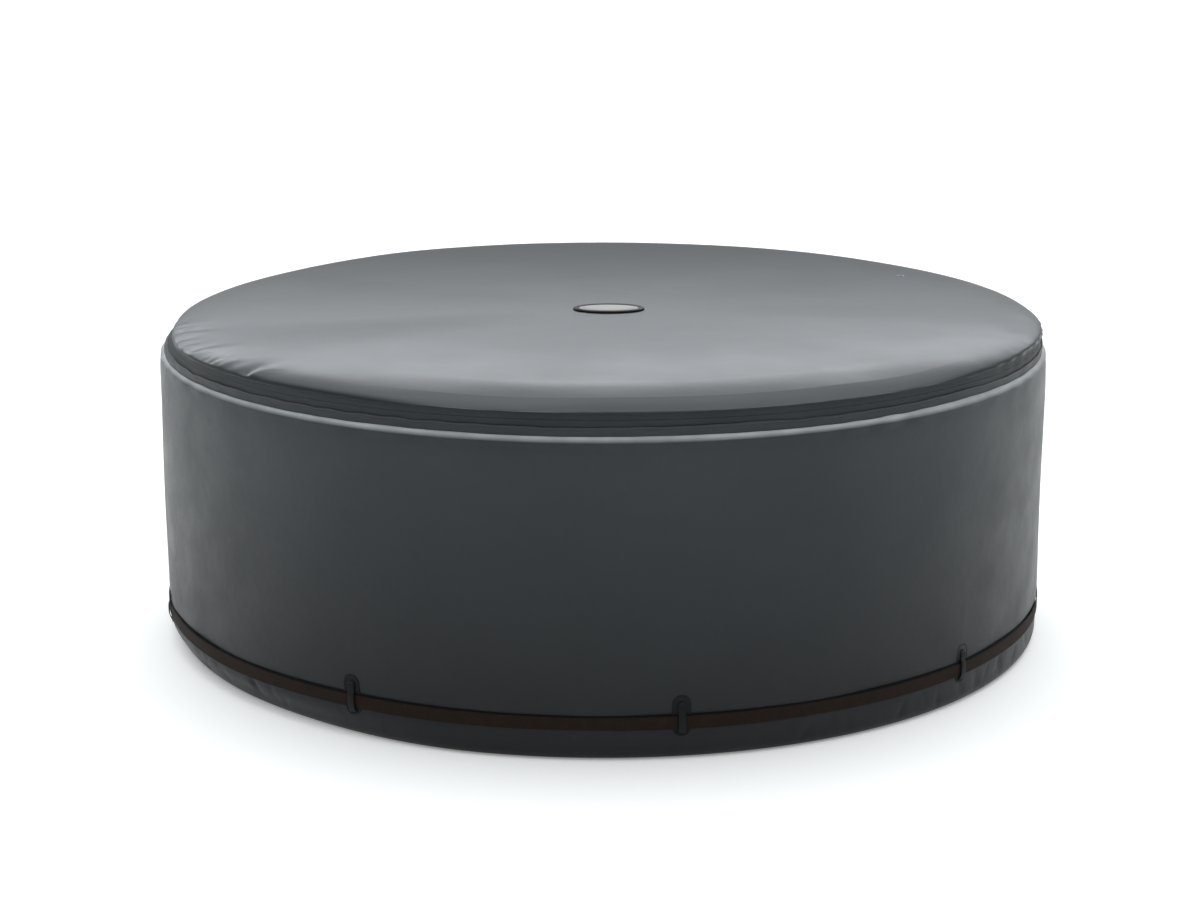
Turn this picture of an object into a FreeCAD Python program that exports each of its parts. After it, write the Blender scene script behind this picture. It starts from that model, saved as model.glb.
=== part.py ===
import FreeCAD, Part
import math
import os

import Sketcher
from FreeCAD import Placement, Rotation, Vector

# Inflatable hot tub. +Z is up, the origin is the centre of the tub on the floor, and -Y is the front.
# An azimuth is counted in degrees from the front, counter-clockwise seen from above (90 is +X).
# On the wall, "side" runs along the circumference, "out" is the distance from the axis, "up" is the height.

DIMENSIONS = {
    # jacket
    "wall_radius": 1080,
    "jacket_skin": 4,
    "foot_round": 45,
    "ridge_round": 16,
    "ridge_height": 706,
    "foot_seam": 1030,
    "ridge_seam": 1060,
    "hem_inner": 985,
    "flange_inner": 900,
    "collar_radius": 1070,
    "collar_skin": 3,
    "collar_top": 724,
    # air ring and floor
    "film": 1.2,
    "film_gap": 0.2,
    "well_radius": 810,
    "floor_low": 5.2,
    "mat_radius": 980,
    "mat_skin": 5,
    "web_skin": 1,
    "web_gap": 1,
    "bubble_ring": 745,
    "bubble_tube": 13,
    # zip
    "tape_radius": 1066.5,
    "tape_skin": 1.5,
    "coil_skin": 1.7,
    "coil_width": 2.5,
    "zip_low": 712,
    "zip_middle": 738.2,
    "zip_gap": 1.6,
    "zip_high": 754,
    "slider_low": 731,
    "slider_high": 745.5,
    # lid
    "lip_radius": 1069.3,
    "lip_low": 751,
    "lip_round": 22,
    "lid_top": 774,
    "lid_skin": 2.5,
    "liner_radius": 1058.8,
    "liner_low": 707.5,
    "liner_high": 766,
    "liner_skin": 1,
    "bladder_radius": 1039,
    "bladder_low": 711,
    "bladder_high": 767.2,
    "badge_length": 176,
    "badge_width": 112,
    "badge_border": 15,
    "badge_skin": 5,
    "eyelet_radius": 11.5,
    "eyelet_hole": 5.6,
    # strap, patches and loops
    "strap_radius": 1083,
    "strap_skin": 1.4,
    "strap_low": 69,
    "strap_width": 28,
    "patch_width": 41.5,
    "patch_low": 51,
    "patch_length": 92,
    "patch_skin": 1.6,
    "loop_width": 16.7,
    "loop_low": 60,
    "loop_high": 128,
    "loop_skin": 1.2,
    # ports
    "port_side": 65,
    "port_height": 200,
    "air_height": 400,
    "pipe_radius": 22,
    "pipe_bore": 18,
    "pipe_end": 1112,
    "spigot_radius": 21,
    "spigot_length": 18,
    "flange_radius": 32,
    "flange_skin": 3,
    "port_gap": 0.6,
    "drain_height": 40,
    "drain_radius": 11,
    "drain_bore": 8.5,
    "valve_bore": 20,
    "valve_depth": 44,
    "valve_out": 855,
    "flange_out": 797,
    "air_flange_out": 1066,
    "nut_out": 1083,
    "nut_skin": 11,
    "strainer_depth": 24,
    "strainer_skin": 2.5,
    "strainer_slot": 3.5,
    "drain_out": 803,
    "drain_length": 294,
    "plug_out": 798.5,
    "cap_out": 1086,
    "hose_radius": 8,
    "hose_skin": 1.5,
    "hose_height": 20,
    "hose_out": 1015,
    "hose_bend": 45,
    # buckle
    "pin_side": 6,
    "pin_out": 1091,
    "pin_radius": 2,
    "buckle_half": 24,
    "plate_out": 1080.5,
    "cheek_out": 1097,
    # slider
    "slider_half": 4.5,
    "bar_height": 741,
    "bar_reach": 7,
    "bar_radius": 0.9,
    "pull_half": 2.8,
    "pull_low": 713,
    # lid valve
    "lid_valve_bore": 12,
    "lid_valve_radius": 15,
    "lid_valve_flange": 24,
}

FRONT, BACK = 0, 180
LOOP_AZIMUTHS = [-75.2, -30.2, 8.8, 48.1, 87.6, 127.0, 166.5, 205.9, 245.4]
WEB_COUNT = 24
BUCKLE_AZIMUTH = 218
DRAIN_AZIMUTH = 240
FLAP_AZIMUTH = 147
SLIDER_AZIMUTH = 204
VALVE_AZIMUTH = 150
HINGE_SPREAD = 18
LID_WEBS = range(-875, 876, 250)

doc = FreeCAD.newDocument("InflatableHotTub")
sheet = doc.addObject("Spreadsheet::Sheet", "Dims")
for row, (word, number) in enumerate(DIMENSIONS.items(), start=1):
    sheet.set(f"A{row}", word)
    sheet.set(f"B{row}", str(number))
    sheet.setAlias(f"B{row}", word)
doc.recompute()

nodes = []
cuts = []


# ---------------------------------------------------------------- sums of dimensions

def value(total):
    """The number that a sum such as "wall_radius - jacket_skin" comes to."""
    result = 0.0
    sign = 1
    for word in str(total).split():
        if word in ("+", "-"):
            sign = 1 if word == "+" else -1
        else:
            result += sign * (DIMENSIONS[word] if word in DIMENSIONS else float(word))
            sign = 1
    return result


def bound(total):
    """The same sum as an expression on the sheet's cells."""
    return " ".join(f"Dims.{word}" if word in DIMENSIONS else word for word in str(total).split())


def difference(high, low):
    """One sum less another."""
    return f"{high} - " + low.translate(str.maketrans("+-", "-+"))


def bind(thing, **sizes):
    """Bind a feature's sizes to the sheet."""
    for name, total in sizes.items():
        setattr(thing, name, value(total))
        thing.setExpression(name, bound(total))


def node(thing, label):
    """Keep a finished sub-part under the name that its file gets."""
    thing.Label = label
    nodes.append(thing)
    return thing


# ---------------------------------------------------------------- places

def around(azimuth, side="0", out="0", up="0", lying=False):
    """A place on the wall; lying turns a feature's own +Z to point outward."""
    turn = Placement(Vector(0, 0, 0), Rotation(Vector(0, 0, 1), azimuth))
    tip = Rotation(Vector(1, 0, 0), 90 if lying else 0)
    return turn * Placement(Vector(value(side), -value(out), value(up)), tip)


def standing(x, y, up):
    """A place on or in the tub at x, y."""
    return Placement(Vector(x, y, value(up)), Rotation())


# ---------------------------------------------------------------- primitives

def cylinder(name, radius, height, place=None, low="0"):
    thing = doc.addObject("Part::Cylinder", name)
    bind(thing, Radius=radius, Height=height)
    thing.Placement = place or standing(0, 0, low)
    return thing


def block(name, side, out, up, azimuth=FRONT):
    """A box on the wall between two sides, two distances out and two heights."""
    thing = doc.addObject("Part::Box", name)
    bind(thing, Length=difference(side[1], side[0]), Width=difference(out[1], out[0]),
         Height=difference(up[1], up[0]))
    thing.Placement = around(azimuth, side[0], out[1], up[0])
    return thing


def combine(kind, name, parts):
    """Fuse, intersect or gather several features."""
    thing = doc.addObject(f"Part::{kind}", name)
    if kind == "Compound":
        thing.Links = parts
    else:
        thing.Shapes = parts
    return thing


def cut(name, base, tools):
    """Cut one or more tools out of a feature."""
    thing = doc.addObject("Part::Cut", name)
    thing.Base = base
    thing.Tool = tools[0] if len(tools) == 1 else combine("MultiFuse", f"{name}_tools", tools)
    return thing


def tube(name, outer, inner, low, height, place=None, drills=()):
    """A straight ring; place, when given, stands for the height of its low end."""
    place = place or standing(0, 0, low)
    core_place = place * Placement(Vector(0, 0, -1), Rotation())
    body = cylinder(f"{name}_outside", outer, height, place)
    core = cylinder(f"{name}_inside", inner, f"{height} + 2", core_place)
    return cut(f"{name}_ring", body, [core, *drills])


# ---------------------------------------------------------------- sketched bodies

def origin_plane(body, role):
    return next(item for item in body.Origin.OriginFeatures if item.Role == role)


def new_sketch(body, name, turn=0, role="XZ_Plane"):
    sketch = body.newObject("Sketcher::SketchObject", name)
    sketch.AttachmentSupport = (origin_plane(body, role), [""])
    sketch.MapMode = "FlatFace"
    sketch.AttachmentOffset = Placement(Vector(0, 0, 0), Rotation(Vector(0, 1, 0), turn))
    return sketch


def hold(sketch, constraint, total=None):
    """Add a constraint, bound to the sheet when it carries a size."""
    index = sketch.addConstraint(constraint)
    if total is not None:
        sketch.setExpression(f"Constraints[{index}]", bound(total))


def pin_point(sketch, line, point, corner, axes="xy"):
    """Hold a line's point at its corner's radius and height."""
    radius, height = corner[0], corner[1]
    if "x" in axes:
        if value(radius) == 0:
            hold(sketch, Sketcher.Constraint("PointOnObject", line, point, -2))
        else:
            hold(sketch, Sketcher.Constraint("DistanceX", -1, 1, line, point, value(radius)), radius)
    if "y" in axes:
        if value(height) == 0:
            hold(sketch, Sketcher.Constraint("PointOnObject", line, point, -1))
        else:
            hold(sketch, Sketcher.Constraint("DistanceY", -1, 1, line, point, value(height)), height)


def draw_outline(sketch, corners):
    """Draw a closed outline of (radius, height) or (radius, height, round) corners.

    The two sides of a rounded corner run along the sketch's axes.
    """
    count = len(corners)
    points = [Vector(value(corner[0]), value(corner[1]), 0) for corner in corners]
    rounds = [value(corner[2]) if len(corner) > 2 else 0.0 for corner in corners]
    ahead = [(points[(i + 1) % count] - points[i]).normalize() for i in range(count)]
    lines = []
    for i in range(count):
        start = points[i] + ahead[i] * rounds[i]
        end = points[(i + 1) % count] - ahead[i] * rounds[(i + 1) % count]
        lines.append(sketch.addGeometry(Part.LineSegment(start, end), False))
    for i in range(count):
        before = lines[i - 1]
        if not rounds[i]:
            hold(sketch, Sketcher.Constraint("Coincident", before, 2, lines[i], 1))
            pin_point(sketch, lines[i], 1, corners[i])
            continue
        entry = points[i] - ahead[i - 1] * rounds[i]
        leave = points[i] + ahead[i] * rounds[i]
        centre = entry + ahead[i] * rounds[i]
        left_turn = ahead[i - 1].cross(ahead[i]).z > 0
        first, last = (entry, leave) if left_turn else (leave, entry)
        angles = [math.atan2(end.y - centre.y, end.x - centre.x) for end in (first, last)]
        circle = Part.Circle(centre, Vector(0, 0, 1), rounds[i])
        arc = sketch.addGeometry(Part.ArcOfCircle(circle, *angles), False)
        start_end, far_end = (1, 2) if left_turn else (2, 1)
        hold(sketch, Sketcher.Constraint("Tangent", before, 2, arc, start_end))
        hold(sketch, Sketcher.Constraint("Tangent", arc, far_end, lines[i], 1))
        hold(sketch, Sketcher.Constraint("Radius", arc, rounds[i]), corners[i][2])
    for i in range(count):
        level = abs(ahead[i].y) < 1e-9
        next_round = rounds[(i + 1) % count]
        if rounds[i] or next_round:
            hold(sketch, Sketcher.Constraint("Horizontal" if level else "Vertical", lines[i]))
        if rounds[i] and next_round:
            pin_point(sketch, lines[i], 1, corners[i], "y" if level else "x")


def revolved(name, corners, angle=360, azimuth=90, place=None):
    """A body turned about its own +Z; a part turn is centred on the azimuth."""
    body = doc.addObject("PartDesign::Body", name)
    sketch = new_sketch(body, f"{name}_outline", azimuth - 90)
    draw_outline(sketch, corners)
    turned = body.newObject("PartDesign::Revolution", f"{name}_turned")
    turned.Profile = sketch
    turned.ReferenceAxis = (sketch, ["V_Axis"])
    turned.Angle = angle
    turned.Midplane = angle < 360
    sketch.Visibility = False
    if place:
        body.Placement = place
    return body


def pierce(body, name, azimuth, holes, role="XZ_Plane"):
    """Drill round holes (side, up, radius) through a body's wall on one azimuth."""
    sketch = new_sketch(body, f"{name}_circles", azimuth - BACK if role == "XZ_Plane" else 0, role)
    for side, up, radius in holes:
        centre = Vector(value(side), value(up), 0)
        ring = sketch.addGeometry(Part.Circle(centre, Vector(0, 0, 1), value(radius)), False)
        pin_point(sketch, ring, 3, (side, up))
        hold(sketch, Sketcher.Constraint("Radius", ring, value(radius)), radius)
    pocket = body.newObject("PartDesign::Pocket", name)
    pocket.Profile = sketch
    pocket.Type = "ThroughAll"
    sketch.Visibility = False
    cuts.append(pocket)
    return pocket


WATER_HOLES = [
    ("port_side", "port_height", "pipe_radius + port_gap"),
    ("0 - port_side", "port_height", "pipe_radius + port_gap"),
]
AIR_HOLE = ("0", "air_height", "pipe_radius + port_gap")
DRAIN_HOLE = ("0", "drain_height", "drain_radius + port_gap")
HOSE_HOLE = ("0", "hose_height", "hose_radius + port_gap")

# ---------------------------------------------------------------- air ring, floor and mat

def curved_wall(name, radius, skin, low, foot, top, ridge, foot_seam, ridge_seam):
    """The outline of a wall skin with a rounded foot and a rounded top edge."""
    return revolved(name, [
        (foot_seam, low),
        (radius, low, foot),
        (radius, top, ridge),
        (ridge_seam, top),
        (ridge_seam, f"{top} - {skin}"),
        (f"{radius} - {skin}", f"{top} - {skin}", f"{ridge} - {skin}"),
        (f"{radius} - {skin}", f"{low} + {skin}", f"{foot} - {skin}"),
        (foot_seam, f"{low} + {skin}"),
    ])


def make_air_ring():
    outer = curved_wall("OuterWall", "wall_radius - jacket_skin - 1.5", "film", "floor_low",
                        "foot_round - jacket_skin - 1.5", "ridge_height - jacket_skin - 1.5",
                        "ridge_round - jacket_skin - 1.5", "foot_seam", "ridge_seam")
    pierce(outer, "OuterWallPorts", BACK, [*WATER_HOLES, AIR_HOLE])
    pierce(outer, "OuterWallDrain", DRAIN_AZIMUTH, [DRAIN_HOLE])
    node(outer, "tub_outer_wall")

    top = "ridge_height - jacket_skin - 1.5"
    inner = revolved("InnerWall", [
        ("well_radius", "floor_low + film"),
        ("well_radius + film", "floor_low + film"),
        ("well_radius + film", f"{top} - film - film_gap"),
        ("well_radius", f"{top} - film - film_gap"),
    ])
    pierce(inner, "InnerWallPorts", BACK, [*WATER_HOLES, HOSE_HOLE])
    pierce(inner, "InnerWallDrain", DRAIN_AZIMUTH, [DRAIN_HOLE])
    node(inner, "tub_inner_wall")

    valve_place = around(VALVE_AZIMUTH, "0", "valve_out", "0")
    valve_drill = cylinder("ValveDrill", "valve_bore + 2.5", "ridge_height + 10", valve_place)
    node(tube("TopRing", "ridge_seam - film_gap", "well_radius", f"{top} - film", "film",
              drills=[valve_drill]), "tub_top_ring")
    node(tube("BaseRing", "foot_seam - film_gap", "well_radius + film + web_gap", "floor_low", "film"),
         "tub_base_ring")
    node(cylinder("Floor", "well_radius + film", "film", low="floor_low"), "tub_floor")
    node(cylinder("Mat", "mat_radius", "mat_skin"), "ground_mat")

    webs = []
    side = ("0 - web_skin", "0")
    inside = "well_radius + film + web_gap"
    for index in range(WEB_COUNT):
        azimuth = 360 / WEB_COUNT * (index + 0.5)
        whole_height = block(f"Web{index}_inner", side, (inside, "foot_seam"),
                             ("floor_low + film + web_gap", f"{top} - film - web_gap"), azimuth)
        between_rounds = block(f"Web{index}_outer", side,
                               (inside, "wall_radius - jacket_skin - 1.5 - film - web_gap"),
                               ("foot_round + web_gap", f"{top} - ridge_round"), azimuth)
        webs.append(combine("MultiFuse", f"Web{index}", [whole_height, between_rounds]))
    node(combine("Compound", "Webs", webs), "wall_webs")

    channel = doc.addObject("Part::Torus", "BubbleChannelOutside")
    bind(channel, Radius1="bubble_ring", Radius2="bubble_tube")
    hollow = doc.addObject("Part::Torus", "BubbleChannelInside")
    bind(hollow, Radius1="bubble_ring", Radius2="bubble_tube - film")
    for ring in (channel, hollow):
        ring.Placement = standing(0, 0, "floor_low + film + film_gap + bubble_tube")
    node(cut("BubbleChannel", channel, [hollow]), "bubble_channel")


def make_inflation_valve():
    place = around(VALVE_AZIMUTH, "0", "valve_out", "ridge_height")
    body = revolved("ValveBody", [
        ("0", "0 - valve_depth"),
        ("valve_bore + 2", "0 - valve_depth"),
        ("valve_bore + 2", "0 - 5.3"),
        ("valve_bore + 6", "0 - 5.3"),
        ("valve_bore + 6", "0 - 3.8"),
        ("valve_bore", "0 - 3.8"),
        ("valve_bore", "2 - valve_depth"),
        ("0", "2 - valve_depth"),
    ], place=place)
    node(body, "wall_valve_body")
    cap = revolved("ValveCap", [
        ("0", "0 - 16"),
        ("valve_bore - 0.07", "0 - 16"),
        ("valve_bore - 0.07", "0 - 3.8"),
        ("valve_bore - 4", "0 - 3.8"),
        ("valve_bore - 4", "0 - 11"),
        ("0", "0 - 11"),
    ], place=place)
    grip = doc.addObject("Part::Box", "ValveCapGrip")
    bind(grip, Length="valve_bore + valve_bore - 9", Width="4", Height="6")
    grip.Placement = place * Placement(Vector(-15.5, -2, -11), Rotation())
    node(combine("MultiFuse", "ValveCapWhole", [cap, grip]), "wall_valve_cap")


# ---------------------------------------------------------------- water, air and drain fittings

def flanged_pipe(name, bore, radius, flange, length, place, spigot=None):
    """A pipe whose flange is at its inner end; a spigot is a thinner outer end for a hose."""
    shoulder = f"{length} - spigot_length"
    end = [(radius, length)]
    if spigot:
        end = [(radius, shoulder), (spigot, shoulder), (spigot, length)]
    return revolved(name, [
        (bore, "0"),
        (flange, "0"),
        (flange, "flange_skin"),
        (radius, "flange_skin"),
        *end,
        (bore, length),
    ], place=place)


def strainer(name, side):
    """A slotted cup over a water pipe's flange, open outward."""
    place = around(BACK, side, "flange_out", "port_height", lying=True)
    cup = revolved(name, [
        ("0", "0 - strainer_depth"),
        ("flange_radius + 3", "0 - strainer_depth"),
        ("flange_radius + 3", "0"),
        ("flange_radius + 0.3", "0"),
        ("flange_radius + 0.3", "strainer_skin - strainer_depth"),
        ("0", "strainer_skin - strainer_depth"),
    ], place=place)
    sketch = new_sketch(cup, f"{name}_hole", role="XY_Plane")
    sketch.AttachmentOffset = Placement(Vector(0, 0, -20), Rotation())
    reach, slot = "flange_radius - 10", "strainer_slot"
    hole = sketch.addGeometry(Part.Circle(Vector(value(reach), 0, 0), Vector(0, 0, 1), value(slot)), False)
    hold(sketch, Sketcher.Constraint("PointOnObject", hole, 3, -1))
    hold(sketch, Sketcher.Constraint("DistanceX", -1, 1, hole, 3, value(reach)), reach)
    hold(sketch, Sketcher.Constraint("Radius", hole, value(slot)), slot)
    pocket = cup.newObject("PartDesign::Pocket", f"{name}_slot")
    pocket.Profile = sketch
    pocket.Length = 6
    cuts.append(pocket)
    pattern = cup.newObject("PartDesign::PolarPattern", f"{name}_slots")
    pattern.Originals = [pocket]
    pattern.Axis = (sketch, ["N_Axis"])
    pattern.Angle = 360
    pattern.Occurrences = 12
    cup.Tip = pattern
    return cup


def gasket(name, bore, radius, start, thick, azimuth=BACK, side="0", up="port_height"):
    place = around(azimuth, side, start, up, lying=True)
    return tube(name, radius, f"{bore} + 0.2", None, thick, place)


def make_ports():
    ports = [("Inlet", "inlet_pipe", "inlet_strainer", "0 - port_side"),
             ("Outlet", "outlet_pipe", "outlet_strainer", "port_side")]
    gaskets = []
    nuts = []
    for name, pipe_label, strainer_label, side in ports:
        place = around(BACK, side, "flange_out", "port_height", lying=True)
        pipe = flanged_pipe(name, "pipe_bore", "pipe_radius", "flange_radius", "pipe_end - flange_out",
                            place, "spigot_radius")
        node(pipe, pipe_label)
        node(strainer(f"{name}Strainer", side), strainer_label)
        gaskets.append(gasket(f"{name}Gasket", "pipe_radius", "flange_radius - 1",
                              "flange_out + flange_skin + 0.2", "3.8", side=side))
        nuts.append((side, "port_height"))
    air_place = around(BACK, "0", "air_flange_out", "air_height", lying=True)
    air_pipe = flanged_pipe("AirPipe", "pipe_bore", "pipe_radius", "flange_radius - 2",
                            "pipe_end - air_flange_out", air_place, "spigot_radius")
    node(air_pipe, "air_pipe")
    gaskets.append(gasket("AirGasket", "pipe_radius", "flange_radius - 3",
                          "air_flange_out + flange_skin + 0.2", "3.2", up="air_height"))
    node(combine("Compound", "PipeGaskets", gaskets), "pipe_gaskets")

    solids = []
    for index, (side, up) in enumerate([*nuts, ("0", "air_height")]):
        place = around(BACK, side, "nut_out", up, lying=True)
        nut = doc.addObject("Part::Prism", f"NutHexagon{index}")
        nut.Polygon = 6
        bind(nut, Circumradius="flange_radius + 1", Height="nut_skin")
        nut.Placement = place
        bore_place = place * Placement(Vector(0, 0, -1), Rotation())
        bore = cylinder(f"NutBore{index}", "pipe_radius + 0.05", "nut_skin + 2", bore_place)
        solids.append(cut(f"Nut{index}", nut, [bore]))
    node(combine("Compound", "LockNuts", solids), "pipe_lock_nuts")


def make_drain():
    place = around(DRAIN_AZIMUTH, "0", "drain_out", "drain_height", lying=True)
    pipe = flanged_pipe("DrainPipe", "drain_bore", "drain_radius", "drain_radius + 9", "drain_length", place)
    node(pipe, "drain_pipe")
    rings = [gasket("DrainGasketInside", "drain_radius", "drain_radius + 8", "drain_out + flange_skin + 0.2",
                    "3.2", DRAIN_AZIMUTH, up="drain_height"),
             gasket("DrainGasketOutside", "drain_radius", "drain_radius + 8", "cap_out - 3.4", "2.4",
                    DRAIN_AZIMUTH, up="drain_height")]
    node(combine("Compound", "DrainGaskets", rings), "drain_gaskets")

    plug_place = around(DRAIN_AZIMUTH, "0", "plug_out", "drain_height", lying=True)
    plug = revolved("DrainPlug", [
        ("0", "0"),
        ("drain_radius + 2", "0"),
        ("drain_radius + 2", "4.2"),
        ("drain_bore - 0.06", "4.2"),
        ("drain_bore - 0.06", "19"),
        ("0", "19"),
    ], place=plug_place)
    tab = block("DrainPlugTab", ("0 - 6", "6"), ("plug_out - 10.5", "plug_out + 0.5"),
                ("drain_height - 1", "drain_height + 1"), DRAIN_AZIMUTH)
    node(combine("MultiFuse", "DrainPlugWhole", [plug, tab]), "drain_plug")

    cap_place = around(DRAIN_AZIMUTH, "0", "cap_out", "drain_height", lying=True)
    cap = revolved("DrainCap", [
        ("drain_radius + 0.06", "0"),
        ("drain_radius + 5", "0"),
        ("drain_radius + 5", "14"),
        ("0", "14"),
        ("0", "11.8"),
        ("drain_radius + 0.06", "11.8"),
    ], place=cap_place)
    node(cap, "drain_cap")


def make_air_hose():
    """The hose from the air coupling down inside the ring to the bubble channel."""
    bend = value("hose_bend")
    down = value("hose_out")
    start = Vector(0, value("air_flange_out - 0.5"), value("air_height"))
    corner = Vector(0, down, value("air_height"))
    foot = Vector(0, down, value("hose_height"))
    end = Vector(0, value("bubble_ring + bubble_tube + 0.4"), value("hose_height"))
    diagonal = bend * (1 - math.sqrt(0.5))
    upper = [corner + Vector(0, bend, 0), corner + Vector(0, diagonal, -diagonal),
             corner + Vector(0, 0, -bend)]
    lower = [foot + Vector(0, 0, bend), foot + Vector(0, -diagonal, diagonal), foot + Vector(0, -bend, 0)]
    path = Part.Wire([
        Part.LineSegment(start, upper[0]).toShape(),
        Part.Arc(*upper).toShape(),
        Part.LineSegment(upper[2], lower[0]).toShape(),
        Part.Arc(*lower).toShape(),
        Part.LineSegment(lower[2], end).toShape(),
    ])
    outside = Part.Wire([Part.makeCircle(value("hose_radius"), start, Vector(0, -1, 0))])
    inside = Part.Wire([Part.makeCircle(value("hose_radius - hose_skin"), start, Vector(0, -1, 0))])
    hose = doc.addObject("Part::Feature", "AirHose")
    hose.Shape = path.makePipeShell([outside], True, False).cut(path.makePipeShell([inside], True, False))
    node(hose, "air_hose")


# ---------------------------------------------------------------- jacket

def make_jacket():
    wall = curved_wall("JacketWall", "wall_radius", "jacket_skin", "0", "foot_round", "ridge_height",
                       "ridge_round", "foot_seam", "ridge_seam")
    pierce(wall, "JacketPorts", BACK, [*WATER_HOLES, AIR_HOLE])
    pierce(wall, "JacketDrain", DRAIN_AZIMUTH, [DRAIN_HOLE])
    node(wall, "jacket_wall")
    node(tube("JacketFlange", "ridge_seam - film_gap", "flange_inner", "ridge_height - jacket_skin",
              "jacket_skin"), "jacket_top_flange")
    node(tube("JacketCollar", "collar_radius", "collar_radius - collar_skin", "ridge_height + film_gap",
              "collar_top - ridge_height - film_gap"), "jacket_collar")
    node(tube("JacketHem", "foot_seam - film_gap", "hem_inner", "0", "jacket_skin"), "jacket_hem")


def make_port_rings():
    """Welded rings that follow the wall round each port."""
    skin = tube("PortRingSkin", "wall_radius + 2.3", "wall_radius + 0.3", "port_height - 100", "air_height")
    washers = []
    drills = []
    for index, (side, up) in enumerate([("port_side", "port_height"), ("0 - port_side", "port_height"),
                                        ("0", "air_height")]):
        washer_place = around(BACK, side, "1000", up, lying=True)
        washers.append(cylinder(f"PortWasher{index}", "flange_radius + 6", "150", washer_place))
        drills.append(cylinder(f"PortDrill{index}", "pipe_radius + port_gap", "150", washer_place))
    disc = combine("MultiCommon", "PortDiscs", [skin, combine("MultiFuse", "PortWashers", washers)])
    node(cut("PortRings", disc, drills), "port_rings")


def stadium(name, width, low, length, out, skin, azimuth):
    """A flat patch with round ends, standing upright on the wall."""
    radius = value(width) / 2
    pieces = [block(f"{name}_middle", (f"0 - {radius}", f"{radius}"), (out, f"{out} + {skin}"),
                    (f"{low} + {radius}", f"{low} + {length} - {radius}"), azimuth)]
    for end, up in enumerate((f"{low} + {radius}", f"{low} + {length} - {radius}")):
        place = around(azimuth, "0", out, up, lying=True)
        pieces.append(cylinder(f"{name}_end{end}", radius, skin, place))
    return combine("MultiFuse", name, pieces)


def make_loops():
    """The patches round the foot, and on each a loop that the strap runs through."""
    patches = []
    loops = []
    half = f"{value('loop_width') / 2}"
    side = (f"0 - {half}", half)
    patch_out = "wall_radius + 0.3"
    foot_out = f"{patch_out} + patch_skin"
    loop_out = "strap_radius + strap_skin + 0.8"
    for index, azimuth in enumerate(LOOP_AZIMUTHS):
        patches.append(stadium(f"Patch{index}", "patch_width", "patch_low", "patch_length", patch_out,
                               "patch_skin", azimuth))
        strip = block(f"Loop{index}_strip", side, (loop_out, f"{loop_out} + loop_skin"),
                      ("loop_low", "loop_high"), azimuth)
        low_weld = block(f"Loop{index}_foot", side, (foot_out, f"{loop_out} + 0.1"),
                         ("loop_low", "loop_low + 3"), azimuth)
        high_weld = block(f"Loop{index}_head", side, (foot_out, f"{loop_out} + 0.1"),
                          ("loop_high - 22", "loop_high"), azimuth)
        loops.append(combine("MultiFuse", f"Loop{index}", [strip, low_weld, high_weld]))
    node(combine("Compound", "Patches", patches), "loop_patches")
    node(combine("Compound", "Loops", loops), "strap_loops")


def make_strap():
    strap = tube("Strap", "strap_radius + strap_skin", "strap_radius", "strap_low", "strap_width")
    node(strap, "cinch_strap")


def make_buckle():
    """A cam buckle that the strap is pulled tight through."""
    top = "strap_low + strap_width"
    side = ("0 - buckle_half", "buckle_half")
    plate = block("BuckleBase", side, ("plate_out", "plate_out + 1.9"), ("strap_low - 6", f"{top} + 6"),
                  BUCKLE_AZIMUTH)
    low_cheek = block("BuckleLowCheek", side, ("plate_out + 1.5", "cheek_out"),
                      ("strap_low - 6", "strap_low - 1.5"), BUCKLE_AZIMUTH)
    high_cheek = block("BuckleHighCheek", side, ("plate_out + 1.5", "cheek_out"),
                       (f"{top} + 1.5", f"{top} + 6"), BUCKLE_AZIMUTH)
    bar = block("BuckleBar", ("buckle_half - 7", "buckle_half - 3"), ("plate_out + 6", "plate_out + 9.5"),
                ("strap_low - 3", f"{top} + 3"), BUCKLE_AZIMUTH)
    frame = combine("MultiFuse", "BuckleFrameWhole", [plate, low_cheek, high_cheek, bar])
    pin_side = "0 - pin_side"
    drill_place = around(BUCKLE_AZIMUTH, pin_side, "pin_out", "strap_low - 10")
    drill = cylinder("BucklePinDrill", "pin_radius + 0.03", "strap_width + 20", drill_place)
    node(cut("BuckleFrame", frame, [drill]), "buckle_frame")

    pin_place = around(BUCKLE_AZIMUTH, pin_side, "pin_out", "strap_low - 7")
    node(cylinder("BucklePin", "pin_radius", "strap_width + 14", pin_place), "buckle_pin")

    hub_place = around(BUCKLE_AZIMUTH, pin_side, "pin_out", "strap_low")
    hub = cylinder("BuckleHub", "pin_radius + 4", "strap_width - 5", hub_place)
    lever = block("BuckleLever", ("0 - 42", "0 - pin_side"), ("pin_out + 1.5", "pin_out + 5.5"),
                  ("strap_low", f"{top} - 5"), BUCKLE_AZIMUTH)
    whole = combine("MultiFuse", "BuckleCamWhole", [hub, lever])
    bore_place = around(BUCKLE_AZIMUTH, pin_side, "pin_out", "strap_low - 1")
    bore = cylinder("BuckleCamBore", "pin_radius + 0.07", "strap_width + 2", bore_place)
    node(cut("BuckleCam", whole, [bore]), "buckle_cam")

    pitch, turns, coil_radius, wire = 1.1, 4, 3.1, 0.4
    helix = Part.makeHelix(pitch, pitch * turns, coil_radius)
    section = Part.Wire([Part.makeCircle(wire, Vector(coil_radius, 0, 0), Vector(0, 1, 0))])
    spring = doc.addObject("Part::Feature", "BuckleSpring")
    spring.Shape = Part.Wire(helix.Edges).makePipeShell([section], True, True)
    spring.Placement = around(BUCKLE_AZIMUTH, pin_side, "pin_out", f"{top} - 3.8")
    node(spring, "buckle_spring")


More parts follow.
